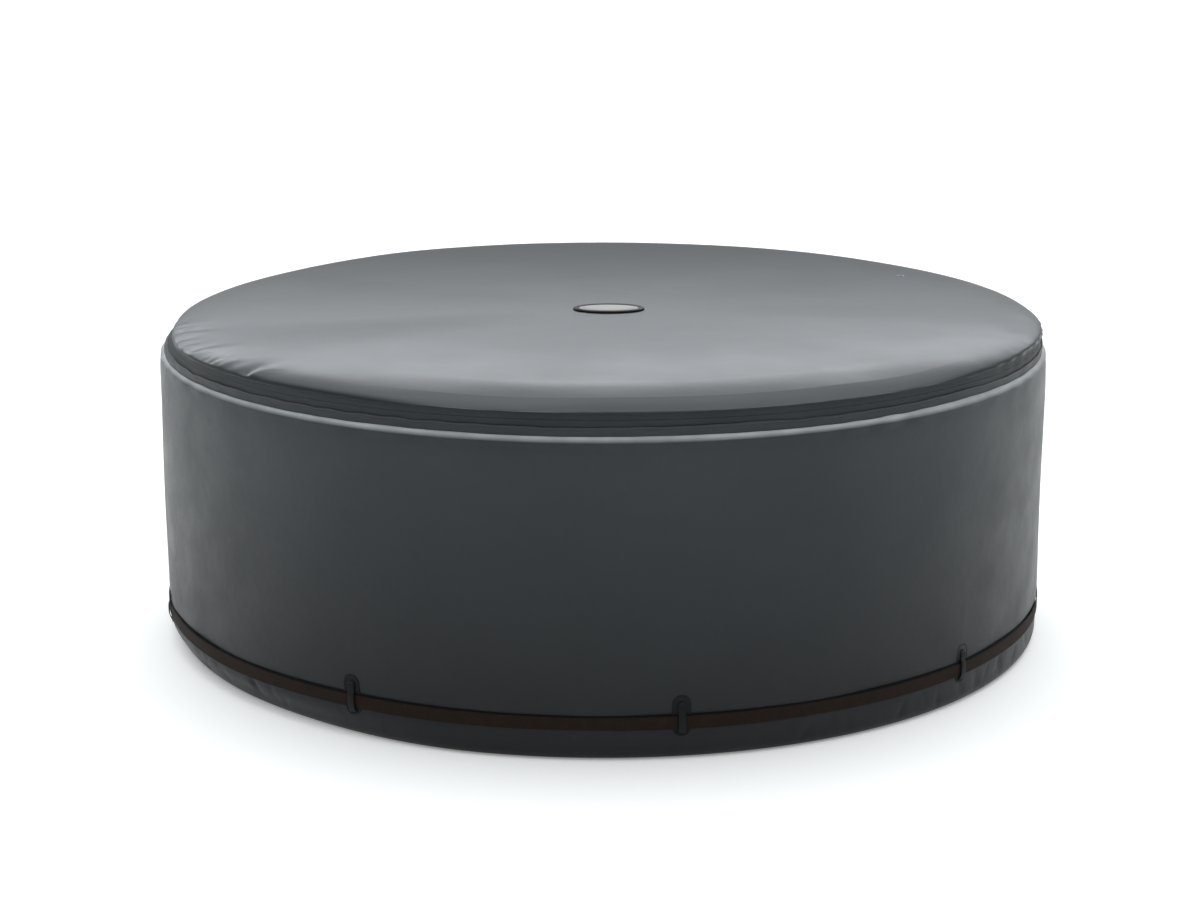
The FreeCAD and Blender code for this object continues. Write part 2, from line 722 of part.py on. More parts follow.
def make_closure():
    """The upright flap that covers the jacket's opening, closed with hook and loop tape."""
    up = ("110", "ridge_height - 26")
    node(block("HookTape", ("0 - 22", "22"), ("wall_radius + 0.4", "wall_radius + 1.4"), up, FLAP_AZIMUTH),
         "closure_hook_tape")
    node(block("LoopTape", ("0 - 20", "20"), ("wall_radius + 1.8", "wall_radius + 2.8"), up, FLAP_AZIMUTH),
         "closure_loop_tape")
    node(block("ClosureFlap", ("0 - 34", "34"), ("wall_radius + 3", "wall_radius + 4.8"),
               ("106", "ridge_height - 22"), FLAP_AZIMUTH), "closure_flap")


# ---------------------------------------------------------------- zip

def make_zip():
    low_edge = "zip_middle - zip_gap + 0.8"
    high_edge = "zip_middle + zip_gap - 0.8"
    inner = "tape_radius - tape_skin"
    for name, low, high, coil_low, prefix in (
            ("LowerZip", "zip_low", low_edge, f"{low_edge} - coil_width", "lower"),
            ("UpperZip", high_edge, "zip_high", high_edge, "upper")):
        node(tube(f"{name}Tape", "tape_radius", inner, low, difference(high, low)), f"{prefix}_zip_tape")
        coil = tube(f"{name}Coil", inner, f"{inner} - coil_skin", coil_low, "coil_width")
        node(coil, f"{prefix}_zip_coil")


BAR_OUT = "tape_radius + bar_reach"


def make_slider():
    side = ("0 - slider_half", "slider_half")
    up = ("slider_low", "slider_high")
    lug_out = ("tape_radius + 2", f"{BAR_OUT} + 2")
    lug_up = ("bar_height - 2.5", "bar_height + 2.2")
    plates = [
        block("SliderOuterPlate", side, ("tape_radius + 0.9", "tape_radius + 2.7"), up, SLIDER_AZIMUTH),
        block("SliderInnerPlate", side, ("tape_radius - 6.6", "tape_radius - 4.4"), up, SLIDER_AZIMUTH),
        block("SliderWeb", ("0 - 1.4", "1.4"), ("tape_radius - 5", "tape_radius + 1.5"),
              ("zip_middle - 0.45", "zip_middle + 0.45"), SLIDER_AZIMUTH),
        block("SliderLeftLug", ("0 - slider_half", "1.3 - slider_half"), lug_out, lug_up, SLIDER_AZIMUTH),
        block("SliderRightLug", ("slider_half - 1.3", "slider_half"), lug_out, lug_up, SLIDER_AZIMUTH),
    ]
    bar_turn = Placement(Vector(0, 0, 0), Rotation(Vector(0, 1, 0), 90))
    bar_place = around(SLIDER_AZIMUTH, "0.5 - slider_half", BAR_OUT, "bar_height") * bar_turn
    bar_length = "slider_half + slider_half - 1"
    plates.append(cylinder("SliderBar", "bar_radius", bar_length, bar_place))
    node(combine("MultiFuse", "Slider", plates), "zip_slider")

    eye_place = around(SLIDER_AZIMUTH, "0 - pull_half", BAR_OUT, "bar_height") * bar_turn
    eye = cylinder("PullEye", "bar_radius + 1.5", "pull_half + pull_half", eye_place)
    tag = block("PullTag", ("0 - pull_half", "pull_half"), (f"{BAR_OUT} - 0.7", f"{BAR_OUT} + 0.9"),
                ("pull_low", "bar_height"), SLIDER_AZIMUTH)
    whole = combine("MultiFuse", "PullWhole", [eye, tag])
    bore = cylinder("PullBore", "bar_radius + 0.07", bar_length, bar_place)
    node(cut("Pull", whole, [bore]), "zip_pull")


def make_hinge_strip():
    strip = revolved("HingeStrip", [
        ("tape_radius + 0.8", "collar_top + 1"),
        ("tape_radius + 2", "collar_top + 1"),
        ("tape_radius + 2", "lip_low - 1"),
        ("tape_radius + 0.8", "lip_low - 1"),
    ], angle=HINGE_SPREAD, azimuth=BACK)
    node(strip, "lid_hinge_strip")


# ---------------------------------------------------------------- lid

BADGE_CENTRE = (14, -25)
EYELET_CENTRE = (789, 457)
LID_VALVE_CENTRE = (-300, 500)


def make_lid():
    panel = revolved("LidPanel", [
        ("lip_radius - lid_skin", "lip_low"),
        ("lip_radius", "lip_low"),
        ("lip_radius", "lid_top", "lip_round"),
        ("0", "lid_top"),
        ("0", "lid_top - lid_skin"),
        ("lip_radius - lid_skin", "lid_top - lid_skin", "lip_round - lid_skin"),
    ])
    eyelet_place = standing(*EYELET_CENTRE, "lid_top - 20")
    eyelet_drill = cylinder("EyeletDrill", "eyelet_hole + 1.6", "40", eyelet_place)
    node(cut("LidTopPanel", panel, [eyelet_drill]), "lid_top_panel")

    drill_place = standing(*LID_VALVE_CENTRE, "liner_low - 17.5")
    valve_drill = cylinder("LidValveDrill", "lid_valve_radius + 0.4", "60", drill_place)
    pan = revolved("LinerPan", [
        ("0", "liner_low"),
        ("liner_radius", "liner_low"),
        ("liner_radius", "liner_high"),
        ("liner_radius - liner_skin", "liner_high"),
        ("liner_radius - liner_skin", "liner_low + liner_skin"),
        ("0", "liner_low + liner_skin"),
    ])
    node(cut("LidLiner", pan, [valve_drill]), "lid_liner")

    disc = "bladder_radius - film - film_gap"
    node(cylinder("BladderTop", disc, "film", low="bladder_high - film"), "lid_bladder_top")
    bottom_drill = cylinder("BladderValveDrill", "lid_valve_radius + 0.4", "60", drill_place)
    bottom = cylinder("BladderBottomDisc", disc, "film", low="bladder_low")
    node(cut("BladderBottom", bottom, [bottom_drill]), "lid_bladder_bottom")
    node(tube("BladderRim", "bladder_radius", "bladder_radius - film", "bladder_low",
              "bladder_high - bladder_low"), "lid_bladder_rim")
    limit = cylinder("BladderWebLimit", "bladder_radius - 6", "200", low="bladder_low - 50")
    strips = []
    for index, y in enumerate(LID_WEBS):
        strip = doc.addObject("Part::Box", f"LidWebStrip{index}")
        bind(strip, Length="bladder_radius + bladder_radius", Width="web_skin",
             Height="bladder_high - bladder_low - film - film - 0.4")
        strip.Placement = standing(-value("bladder_radius"), y, "bladder_low + film + 0.2")
        strips.append(combine("MultiCommon", f"LidWeb{index}", [strip, limit]))
    node(combine("Compound", "LidWebs", strips), "lid_bladder_webs")

    eyelet = revolved("Eyelet", [
        ("eyelet_hole", "0 - 4"),
        ("eyelet_hole + 1.3", "0 - 4"),
        ("eyelet_hole + 1.3", "0.1"),
        ("eyelet_radius", "0.1"),
        ("eyelet_radius", "1.8"),
        ("eyelet_hole", "1.8"),
    ], place=standing(*EYELET_CENTRE, "lid_top"))
    node(eyelet, "lid_eyelet")


def make_lid_valve():
    body = revolved("LidValveBody", [
        ("lid_valve_bore", "0 - 2"),
        ("lid_valve_flange", "0 - 2"),
        ("lid_valve_flange", "0 - 0.2"),
        ("lid_valve_radius", "0 - 0.2"),
        ("lid_valve_radius", "28"),
        ("lid_valve_bore", "28"),
    ], place=standing(*LID_VALVE_CENTRE, "liner_low"))
    node(body, "lid_valve_body")
    plug = revolved("LidValvePlug", [
        ("0", "0 - 5.5"),
        ("lid_valve_bore + 6", "0 - 5.5"),
        ("lid_valve_bore + 6", "0 - 2.4"),
        ("lid_valve_bore - 0.07", "0 - 2.4"),
        ("lid_valve_bore - 0.07", "12"),
        ("0", "12"),
    ], place=standing(*LID_VALVE_CENTRE, "liner_low"))
    node(plug, "lid_valve_plug")


def oval(name, length, width, low, height):
    """An upright oval prism on the badge's centre."""
    ring = doc.addObject("Part::Ellipse", f"{name}_curve")
    ring.MajorRadius = value(length) / 2
    ring.MinorRadius = value(width) / 2
    ring.setExpression("MajorRadius", f"({bound(length)}) / 2")
    ring.setExpression("MinorRadius", f"({bound(width)}) / 2")
    ring.Placement = standing(*BADGE_CENTRE, low)
    prism = doc.addObject("Part::Extrusion", name)
    prism.Base = ring
    prism.DirMode = "Custom"
    prism.Dir = Vector(0, 0, 1)
    prism.LengthFwd = value(height)
    prism.setExpression("LengthFwd", bound(height))
    prism.Solid = True
    return prism


def make_badge():
    length = "badge_length - badge_border - badge_border"
    width = "badge_width - badge_border - badge_border"
    outside = oval("BadgeOutside", "badge_length", "badge_width", "lid_top + 0.1", "badge_skin")
    window = oval("BadgeWindow", length, width, "lid_top - 1", "badge_skin + 3")
    node(cut("BadgeRim", outside, [window]), "badge_rim")
    face = oval("BadgeFace", f"{length} - 0.4", f"{width} - 0.4", "lid_top + 0.1", "badge_skin - 1.2")
    node(face, "badge_face")


# ---------------------------------------------------------------- build, check and write

def check():
    """Stop if any feature failed, any cut removed nothing or any sub-part has no sound shape."""
    for thing in doc.Objects:
        if "Invalid" in thing.State or "Error" in thing.State:
            raise RuntimeError(f"{thing.Name} failed: {thing.State}")
    for pocket in cuts:
        before = pocket.BaseFeature.Shape.Volume
        if pocket.Shape.Volume > before - 1:
            raise RuntimeError(f"{pocket.Name} cut nothing")
    for thing in nodes:
        if thing.Shape.isNull() or not thing.Shape.isValid() or thing.Shape.Volume <= 0:
            raise RuntimeError(f"{thing.Label} has no sound shape")


make_air_ring()
make_inflation_valve()
make_ports()
make_drain()
make_air_hose()
make_jacket()
make_port_rings()
make_loops()
make_strap()
make_buckle()
make_closure()
make_zip()
make_slider()
make_hinge_strip()
make_lid()
make_lid_valve()
make_badge()
doc.recompute()
check()

os.makedirs("parts", exist_ok=True)
for thing in nodes:
    thing.Shape.exportStep(f"parts/{thing.Label}.step")
    box = thing.Shape.BoundBox
    print(f"{thing.Label:22s} solids {len(thing.Shape.Solids):3d}  z {box.ZMin:8.2f} {box.ZMax:8.2f}")
print(len(nodes), "nodes")
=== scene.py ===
import math

import bmesh
import bpy
import numpy as np
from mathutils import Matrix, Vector


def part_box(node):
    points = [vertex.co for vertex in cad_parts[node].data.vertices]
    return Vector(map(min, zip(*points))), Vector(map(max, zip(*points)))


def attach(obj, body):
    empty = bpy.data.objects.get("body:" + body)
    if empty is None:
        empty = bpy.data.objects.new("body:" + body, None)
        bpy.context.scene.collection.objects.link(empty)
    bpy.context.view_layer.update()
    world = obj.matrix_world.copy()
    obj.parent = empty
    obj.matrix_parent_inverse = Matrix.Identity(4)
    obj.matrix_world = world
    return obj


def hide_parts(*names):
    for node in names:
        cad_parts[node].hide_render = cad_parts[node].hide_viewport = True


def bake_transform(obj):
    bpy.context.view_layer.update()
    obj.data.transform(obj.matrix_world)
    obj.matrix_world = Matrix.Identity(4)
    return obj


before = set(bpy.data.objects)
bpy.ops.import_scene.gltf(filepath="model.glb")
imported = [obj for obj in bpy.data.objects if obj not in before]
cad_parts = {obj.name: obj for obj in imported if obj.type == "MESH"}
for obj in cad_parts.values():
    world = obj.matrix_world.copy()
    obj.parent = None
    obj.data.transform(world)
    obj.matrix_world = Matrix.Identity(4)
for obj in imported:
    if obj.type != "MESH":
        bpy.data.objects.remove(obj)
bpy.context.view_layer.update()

# ---------------------------------------------------------------- sizes, in metres, read from the frame

# An azimuth is counted from the front (-Y), counter-clockwise seen from above, so 90 degrees is +X.
WALL_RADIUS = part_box("jacket_wall")[1].x
RIDGE_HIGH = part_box("jacket_wall")[1].z
COLLAR_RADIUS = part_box("jacket_collar")[1].x
COLLAR_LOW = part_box("jacket_collar")[0].z
COLLAR_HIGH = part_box("jacket_collar")[1].z
FLANGE_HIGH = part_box("jacket_top_flange")[1].z
TAPE_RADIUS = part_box("lower_zip_tape")[1].x
ZIP_MIDDLE = (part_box("lower_zip_tape")[1].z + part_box("upper_zip_tape")[0].z) / 2
LIP_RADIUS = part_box("lid_top_panel")[1].x
LIP_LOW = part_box("lid_top_panel")[0].z
LID_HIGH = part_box("lid_top_panel")[1].z
LINER_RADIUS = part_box("lid_liner")[1].x
LINER_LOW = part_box("lid_liner")[0].z
STRAP_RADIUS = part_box("cinch_strap")[1].x
STRAP_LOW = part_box("cinch_strap")[0].z
STRAP_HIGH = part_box("cinch_strap")[1].z

FOOT_ROUND = 0.020
FOOT_SEAM = 1.030
RIDGE_SEAM = 1.060
LOOP_AZIMUTHS = [-75.2, -30.2, 8.8, 48.1, 87.6, 127.0, 166.5, 205.9, 245.4]
BACK = 180.0
FLAP_AZIMUTH = 147.0
DRAIN_AZIMUTH = 240.0
LEAN_LEFT, LEAN_RIGHT = 0.030, 0.007
FOOT_TUCK = 0.024
HEM_HIGH = 0.0004
TAPE_LOW, TAPE_HIGH = 0.712, 0.7565
LINER_HIGH = 0.757
CLOTH_THICK = 0.0012
FILM_THICK = 0.0008
PIPES = ("inlet_pipe", "outlet_pipe", "air_pipe")


# ---------------------------------------------------------------- small helpers

def smooth(low, high, x):
    """0 below low, 1 above high, eased between."""
    t = np.clip((np.asarray(x, float) - low) / (high - low), 0, 1)
    return t * t * (3 - 2 * t)


def apart(azimuth, centre):
    """Signed angle in degrees from centre, between -180 and 180."""
    return (np.asarray(azimuth, float) - centre + 180) % 360 - 180


def window(azimuth, centre, half, edge):
    """1 within half of the centre, falling to 0 over the edge."""
    return 1 - smooth(half, half + edge, np.abs(apart(azimuth, centre)))


def ripple(azimuth, lowest, highest, seed):
    """A smooth closed wave round the tub with unit deviation."""
    random = np.random.RandomState(seed)
    angle = np.radians(azimuth)
    total = np.zeros_like(angle)
    for turns in range(lowest, highest + 1):
        total += random.normal() * np.cos(turns * angle + random.uniform(0, 2 * math.pi))
    return total / math.sqrt((highest - lowest + 1) / 2)


def place(azimuth, radius, height):
    """Points at an azimuth, a distance from the axis and a height, as an array of x, y, z."""
    angle, radius, height = np.broadcast_arrays(np.radians(azimuth), radius, height)
    return np.stack([radius * np.sin(angle), -radius * np.cos(angle), height], axis=-1)


def lean_in(points):
    """The band and the lid's edge lean inwards above the ridge, most at the left of the back."""
    radius = np.hypot(points[..., 0], points[..., 1])
    azimuth = np.degrees(np.arctan2(points[..., 0], -points[..., 1]))
    reach = LEAN_LEFT * window(azimuth, -104, 14, 34) + LEAN_RIGHT * window(azimuth, 108, 12, 26)
    lifted = smooth(COLLAR_LOW + 0.003, ZIP_MIDDLE + 0.006, points[..., 2])
    share = 1 - reach * lifted * smooth(0.82, 1.06, radius) / np.maximum(radius, 0.1)
    leaned = points.copy()
    leaned[..., 0] *= share
    leaned[..., 1] *= share
    return leaned


def line(start, end, steps):
    """Evenly spaced points of a profile from start to end, without the end."""
    share = np.arange(steps)[:, None] / steps
    return np.array(start) + share * (np.array(end) - np.array(start))


def arc(centre, radius, first, last, steps):
    """Points of a profile's arc between two angles in degrees, without the last."""
    angle = np.radians(first + (last - first) * np.arange(steps) / steps)
    return np.array(centre) + radius * np.stack([np.cos(angle), np.sin(angle)], axis=1)


def outline(*legs):
    """A profile's radii and heights, as two columns.

    The legs are corners with the number of steps between them, and arrays of points such as arcs. A corner
    before an arc is left out, because the arc brings its own first point.
    """
    points = []
    for index, leg in enumerate(legs):
        if isinstance(leg, int):
            points.append(line(legs[index - 1], legs[index + 1], leg))
        elif isinstance(leg, np.ndarray):
            points.append(leg)
    if isinstance(legs[-1], tuple):
        points.append([legs[-1]])
    profile = np.vstack(points)
    return profile[:, :1], profile[:, 1:]


def middle_of(node):
    """The middle of a CAD node's box."""
    low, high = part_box(node)
    return (low + high) / 2


def round_azimuths(columns):
    """Evenly spaced azimuths all the way round."""
    return np.arange(columns) * 360 / columns


def new_object(name, vertices, faces, material, body, smooth_faces=True):
    """A mesh object in one material, riding on a body where one is named."""
    mesh = bpy.data.meshes.new(name)
    mesh.from_pydata([tuple(v) for v in vertices], [], faces)
    mesh.validate()
    mesh.update()
    if smooth_faces:
        mesh.shade_smooth()
    thing = bpy.data.objects.new(name, mesh)
    bpy.context.scene.collection.objects.link(thing)
    thing.data.materials.append(material)
    if body:
        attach(thing, body)
    return thing


def grid_faces(rows, columns, closed_columns, closed_rows=False):
    """Quads of a grid of rows by columns."""
    faces = []
    last_column = columns if closed_columns else columns - 1
    last_row = rows if closed_rows else rows - 1
    for i in range(last_row):
        for j in range(last_column):
            below = (i + 1) % rows
            beside = (j + 1) % columns
            faces.append((i * columns + j, i * columns + beside,
                          below * columns + beside, below * columns + j))
    return faces


def thicken(thing, thickness, offset=-1):
    """Give a sheet its thickness, inwards from its drawn face unless the offset says otherwise."""
    solid = thing.modifiers.new("Thickness", "SOLIDIFY")
    solid.thickness = thickness
    solid.offset = offset


def skin(name, points, material, body, thick=0.0, holes=(), closed=True):
    """A sheet from a grid of points (profile rows, columns round the tub), with round holes left open."""
    rows, columns = points.shape[:2]
    flat = points.reshape(-1, 3)
    faces = grid_faces(rows, columns, closed)
    if holes:
        gone = open_holes(points, holes)
        faces = [f for f in faces if not gone[list(f)].any()]
    thing = new_object(name, flat, faces, material, body)
    if thick:
        thicken(thing, thick)
    return thing


# ---------------------------------------------------------------- materials

class Tree:
    """A material's node tree with short calls for adding and joining nodes."""

    def __init__(self, name, colour, roughness, specular=None):
        self.material = bpy.data.materials.new(name)
        self.material.use_nodes = True
        self.nodes = self.material.node_tree.nodes
        self.links = self.material.node_tree.links
        self.shader = self.nodes["Principled BSDF"]
        self.shader.inputs["Base Color"].default_value = (*colour, 1)
        self.shader.inputs["Roughness"].default_value = roughness
        if specular is not None:
            self.shader.inputs["Specular IOR Level"].default_value = specular
        self.colour = colour
        self.coordinates = self.nodes.new("ShaderNodeTexCoord").outputs["Object"]

    def put(self, socket, value):
        """Join a socket to an output, or set it to a number."""
        if isinstance(value, bpy.types.NodeSocket):
            self.links.new(value, socket)
        else:
            socket.default_value = value

    def math(self, operation, *values):
        """The output of one arithmetic node."""
        node = self.nodes.new("ShaderNodeMath")
        node.operation = operation
        for index, value in enumerate(values):
            self.put(node.inputs[index], value)
        return node.outputs[0]

    def noise(self, scale, detail=3.0, roughness=0.5, stretch=None):
        """Noise of a number of cells to the metre, which can be stretched along the axes."""
        vector = self.coordinates
        if stretch:
            mapping = self.nodes.new("ShaderNodeMapping")
            mapping.inputs["Scale"].default_value = stretch
            self.put(mapping.inputs["Vector"], vector)
            vector = mapping.outputs[0]
        node = self.nodes.new("ShaderNodeTexNoise")
        self.put(node.inputs["Vector"], vector)
        node.inputs["Scale"].default_value = scale
        node.inputs["Detail"].default_value = detail
        node.inputs["Roughness"].default_value = roughness
        return node.outputs[0]

    def wave(self, coordinate, period):
        """A sine of the given period in metres along one coordinate, from 0 to 1."""
        turns = self.math("MULTIPLY", coordinate, 2 * math.pi / period)
        return self.math("MULTIPLY_ADD", self.math("SINE", turns), 0.5, 0.5)

    def parts(self):
        """The object's x, y and z."""
        node = self.nodes.new("ShaderNodeSeparateXYZ")
        self.put(node.inputs[0], self.coordinates)
        return node.outputs[0], node.outputs[1], node.outputs[2]

    def around(self, radius):
        """Distance along the circumference in metres."""
        x, y, _ = self.parts()
        return self.math("MULTIPLY", self.math("ARCTAN2", x, self.math("MULTIPLY", y, -1.0)), radius)

    def spread(self, value, low, high, to_low, to_high):
        """A value mapped from one range to another, and held inside it."""
        node = self.nodes.new("ShaderNodeMapRange")
        self.put(node.inputs["Value"], value)
        for name, number in zip(("From Min", "From Max", "To Min", "To Max"), (low, high, to_low, to_high)):
            node.inputs[name].default_value = number
        return node.outputs[0]

    def cloudy(self, scale, low, high, detail=3.0, roughness=0.5):
        """Noise that runs between two levels."""
        return self.spread(self.noise(scale, detail, roughness), 0.3, 0.7, low, high)

    def tint(self, *factors):
        """Multiply the base colour by several factors."""
        total = factors[0]
        for factor in factors[1:]:
            total = self.math("MULTIPLY", total, factor)
        node = self.nodes.new("ShaderNodeMix")
        node.data_type = "RGBA"
        node.blend_type = "MULTIPLY"
        node.inputs["Factor"].default_value = 1.0
        node.inputs[6].default_value = (*self.colour, 1)
        self.put(node.inputs[7], total)
        self.put(self.shader.inputs["Base Color"], node.outputs[2])

    def lay_over(self, colour, share):
        """Cover the base colour with another one by a share."""
        node = self.nodes.new("ShaderNodeMix")
        node.data_type = "RGBA"
        self.put(node.inputs["Factor"], share)
        self.put(node.inputs[6], self.shader.inputs["Base Color"].links[0].from_socket)
        node.inputs[7].default_value = (*colour, 1)
        self.put(self.shader.inputs["Base Color"], node.outputs[2])

    def bump(self, *layers):
        """Bump from (height 0 to 1, depth in metres) layers."""
        normal = None
        for height, depth in layers:
            node = self.nodes.new("ShaderNodeBump")
            node.inputs["Strength"].default_value = 1.0
            node.inputs["Distance"].default_value = depth
            self.put(node.inputs["Height"], height)
            if normal:
                self.put(node.inputs["Normal"], normal)
            normal = node.outputs[0]
        self.put(self.shader.inputs["Normal"], normal)


# The period of the laminated cloth's weave, and how cloudy its colour is.
WEAVE = 0.0011
MOTTLE = 0.12


def fabric(name, colour, roughness, specular, weave=WEAVE, depth=0.00012, foot=1.0, ridge=None):
    """A laminated cloth: fine weave under a semi-satin skin, slightly cloudy, with painted shade that
    darkens its colour and its shine towards its foot.

    The welded ridge at the top of the wall can carry a paler painted highlight that covers its top and fades
    downwards below it.
    """
    tree = Tree(name, colour, roughness)
    grain = tree.noise(420.0, 2.0, 0.6)
    _, _, z = tree.parts()
    # Painted shade: colour and shine fall off towards the foot, down to the foot factor at the floor, for
    # the dimmer light low on the wall.
    painted_foot_shade = tree.spread(z, 0.02, 0.62, foot, 1.0)
    tree.tint(tree.cloudy(2.3, 1 - MOTTLE, 1 + MOTTLE, 4.0, 0.55),
              tree.spread(grain, 0.25, 0.75, 0.93, 1.07), painted_foot_shade)
    if ridge:
        # Painted highlight: a pale band over the ridge's top, fading below it, in place of the sheen of its
        # rounded edge.
        above = tree.spread(z, RIDGE_HIGH - 0.0150, RIDGE_HIGH - 0.0065, 0.0, 1.0)
        tree.lay_over(ridge, tree.math("MULTIPLY", above, tree.cloudy(14.0, 0.7, 1.0, 2.0)))
    rough = tree.cloudy(9.0, roughness - 0.05, roughness + 0.06, 4.0, 0.6)
    tree.put(tree.shader.inputs["Roughness"], rough)
    cloth = tree.math("MULTIPLY", tree.wave(tree.around(WALL_RADIUS), weave), tree.wave(z, weave))
    tree.bump((tree.noise(38.0, 3.0, 0.55), 0.0007), (cloth, depth), (grain, 0.00008))
    shine = tree.math("MULTIPLY_ADD", painted_foot_shade, 0.45 * specular, 0.6 * specular)
    tree.put(tree.shader.inputs["Specular IOR Level"], shine)
    return tree.material


def flat_fabric(name, colour, roughness, specular, mottle):
    """The same cloth lying level, with its weave along X and Y as a faint tint."""
    tree = Tree(name, colour, roughness, specular)
    grain = tree.noise(420.0, 2.0, 0.6)
    x, y, _ = tree.parts()
    cloth = tree.math("MULTIPLY", tree.wave(x, WEAVE), tree.wave(y, WEAVE))
    tree.tint(tree.cloudy(2.3, 1 - mottle, 1 + mottle, 4.0, 0.55),
              tree.spread(grain, 0.25, 0.75, 0.985, 1.015), tree.spread(cloth, 0, 1, 0.985, 1.015))
    tree.put(tree.shader.inputs["Roughness"], tree.cloudy(5.0, roughness - 0.02, roughness + 0.02, 2.0))
    tree.bump((tree.noise(16.0, 2.0), 0.0004))
    return tree.material


def webbing(name, colour):
    """Ribbed webbing: cross ribs round the strap and a fine thread noise."""
    tree = Tree(name, colour, 0.72, 0.14)
    ribs = tree.wave(tree.around(STRAP_RADIUS), 0.0032)
    thread = tree.noise(900.0, 2.0, 0.5)
    _, _, z = tree.parts()
    rows = tree.wave(z, 0.0013)
    # Painted shadow: the webbing goes nearly black just above the strap's top, for the shade in the gap
    # between strap and wall.
    painted_gap_shadow = tree.spread(z, STRAP_HIGH + 0.0002, STRAP_HIGH + 0.0008, 1.0, 0.12)
    tree.tint(tree.spread(ribs, 0, 1, 0.72, 1.15), tree.cloudy(35.0, 0.85, 1.15),
              tree.spread(thread, 0.3, 0.7, 0.85, 1.1), painted_gap_shadow)
    tree.bump((ribs, 0.0004), (rows, 0.00015), (thread, 0.0001))
    return tree.material


def tape(name, colour):
    """Woven zip tape with a herringbone-like twill."""
    tree = Tree(name, colour, 0.6, 0.3)
    _, _, z = tree.parts()
    twill = tree.wave(tree.math("ADD", tree.around(TAPE_RADIUS), z), 0.0012)
    tree.tint(tree.spread(twill, 0, 1, 0.85, 1.1), tree.cloudy(7.0, 0.85, 1.15))
    tree.bump((twill, 0.0002), (tree.noise(60.0, 2.0), 0.0005))
    return tree.material


def moulded(name, colour, roughness, specular=0.5, grain=260.0):
    """Moulded plastic or rubber with a fine spark-eroded grain."""
    tree = Tree(name, colour, roughness, specular)
    fine = tree.noise(grain, 3.0, 0.6)
    tree.tint(tree.cloudy(12.0, 0.93, 1.07), tree.spread(fine, 0.3, 0.7, 0.97, 1.03))
    tree.put(tree.shader.inputs["Roughness"], tree.cloudy(25.0, roughness - 0.05, roughness + 0.07))
    tree.bump((fine, 0.00006))
    return tree.material


def metal(name, colour, roughness):
    """Metal with fine brushing and slight tarnish."""
    tree = Tree(name, colour, roughness)
    brushed = tree.noise(300.0, 3.0, 0.6, stretch=(1, 1, 8))
    tree.tint(tree.cloudy(40.0, 0.85, 1.05))
    rough = tree.spread(brushed, 0.2, 0.8, roughness - 0.05, roughness + 0.1)
    tree.put(tree.shader.inputs["Roughness"], rough)
    tree.bump((brushed, 0.00003))
    tree.shader.inputs["Metallic"].default_value = 1.0
    return tree.material


def film(name, colour, roughness):
    """Soft PVC film with a faint orange-peel surface."""
    tree = Tree(name, colour, roughness, 0.45)
    peel = tree.noise(110.0, 2.0)
    tree.tint(tree.cloudy(3.0, 0.94, 1.06), tree.spread(peel, 0.3, 0.7, 0.98, 1.02))
    tree.bump((peel, 0.00018), (tree.noise(14.0, 2.0), 0.0012))
    return tree.material


def foam(name, colour):
    """Closed-cell foam with small embossed squares."""
    tree = Tree(name, colour, 0.8)
    x, y, _ = tree.parts()
    squares = tree.math("MULTIPLY", tree.wave(x, 0.012), tree.wave(y, 0.012))
    tree.tint(tree.spread(squares, 0, 0.6, 0.8, 1.05), tree.cloudy(150.0, 0.92, 1.08))
    tree.bump((squares, 0.0008), (tree.noise(500.0), 0.0001))
    return tree.material


# foot=0.4 paints shade on the wall, darkening its colour and shine to 0.4 at the foot.
# ridge is the colour of the painted highlight along the top of the wall.
JACKET = fabric("jacket_fabric", (0.026, 0.0305, 0.0340), 0.40, 0.26, foot=0.4, ridge=(0.43, 0.44, 0.44))
LID = flat_fabric("lid_fabric", (0.018, 0.0205, 0.0222), 0.35, 0.29, 0.04)
PATCH = fabric("patch_fabric", (0.0075, 0.0090, 0.0105), 0.46, 0.13, 0.0009)
COLLAR = fabric("collar_fabric", (0.030, 0.0335, 0.0365), 0.5, 0.3, 0.0014, 0.0002)
WEBBING = webbing("strap_webbing", (0.0160, 0.0082, 0.0050))
TAPE = tape("zip_tape", (0.026, 0.0295, 0.033))
COIL = moulded("zip_coil", (0.012, 0.012, 0.013), 0.4)
ENAMEL = moulded("zip_enamel", (0.014, 0.014, 0.015), 0.3)
PVC = film("pvc_film", (0.30, 0.33, 0.35), 0.38)
LINER = film("liner_film", (0.22, 0.24, 0.26), 0.45)
WEB = film("pvc_web", (0.55, 0.57, 0.58), 0.5)
FITTING = moulded("fitting_plastic", (0.035, 0.038, 0.042), 0.4)
BUCKLE = moulded("buckle_plastic", (0.018, 0.018, 0.020), 0.35)
RUBBER = moulded("gasket_rubber", (0.018, 0.018, 0.018), 0.7, 0.3, 500.0)
HOSE = moulded("hose_plastic", (0.45, 0.46, 0.47), 0.4)
HOOKS = fabric("hook_and_loop", (0.012, 0.012, 0.013), 0.9, 0.1, 0.0016, 0.0006)
FOAM = foam("mat_foam", (0.06, 0.065, 0.07))
STEEL = metal("buckle_steel", (0.55, 0.55, 0.55), 0.28)
EYELET = metal("eyelet_metal", (0.11, 0.115, 0.13), 0.3)
BRONZE = moulded("badge_bronze", (0.016, 0.012, 0.010), 0.5, 0.12)
PLATE = moulded("badge_plate", (0.33, 0.325, 0.30), 0.6, 0.1)

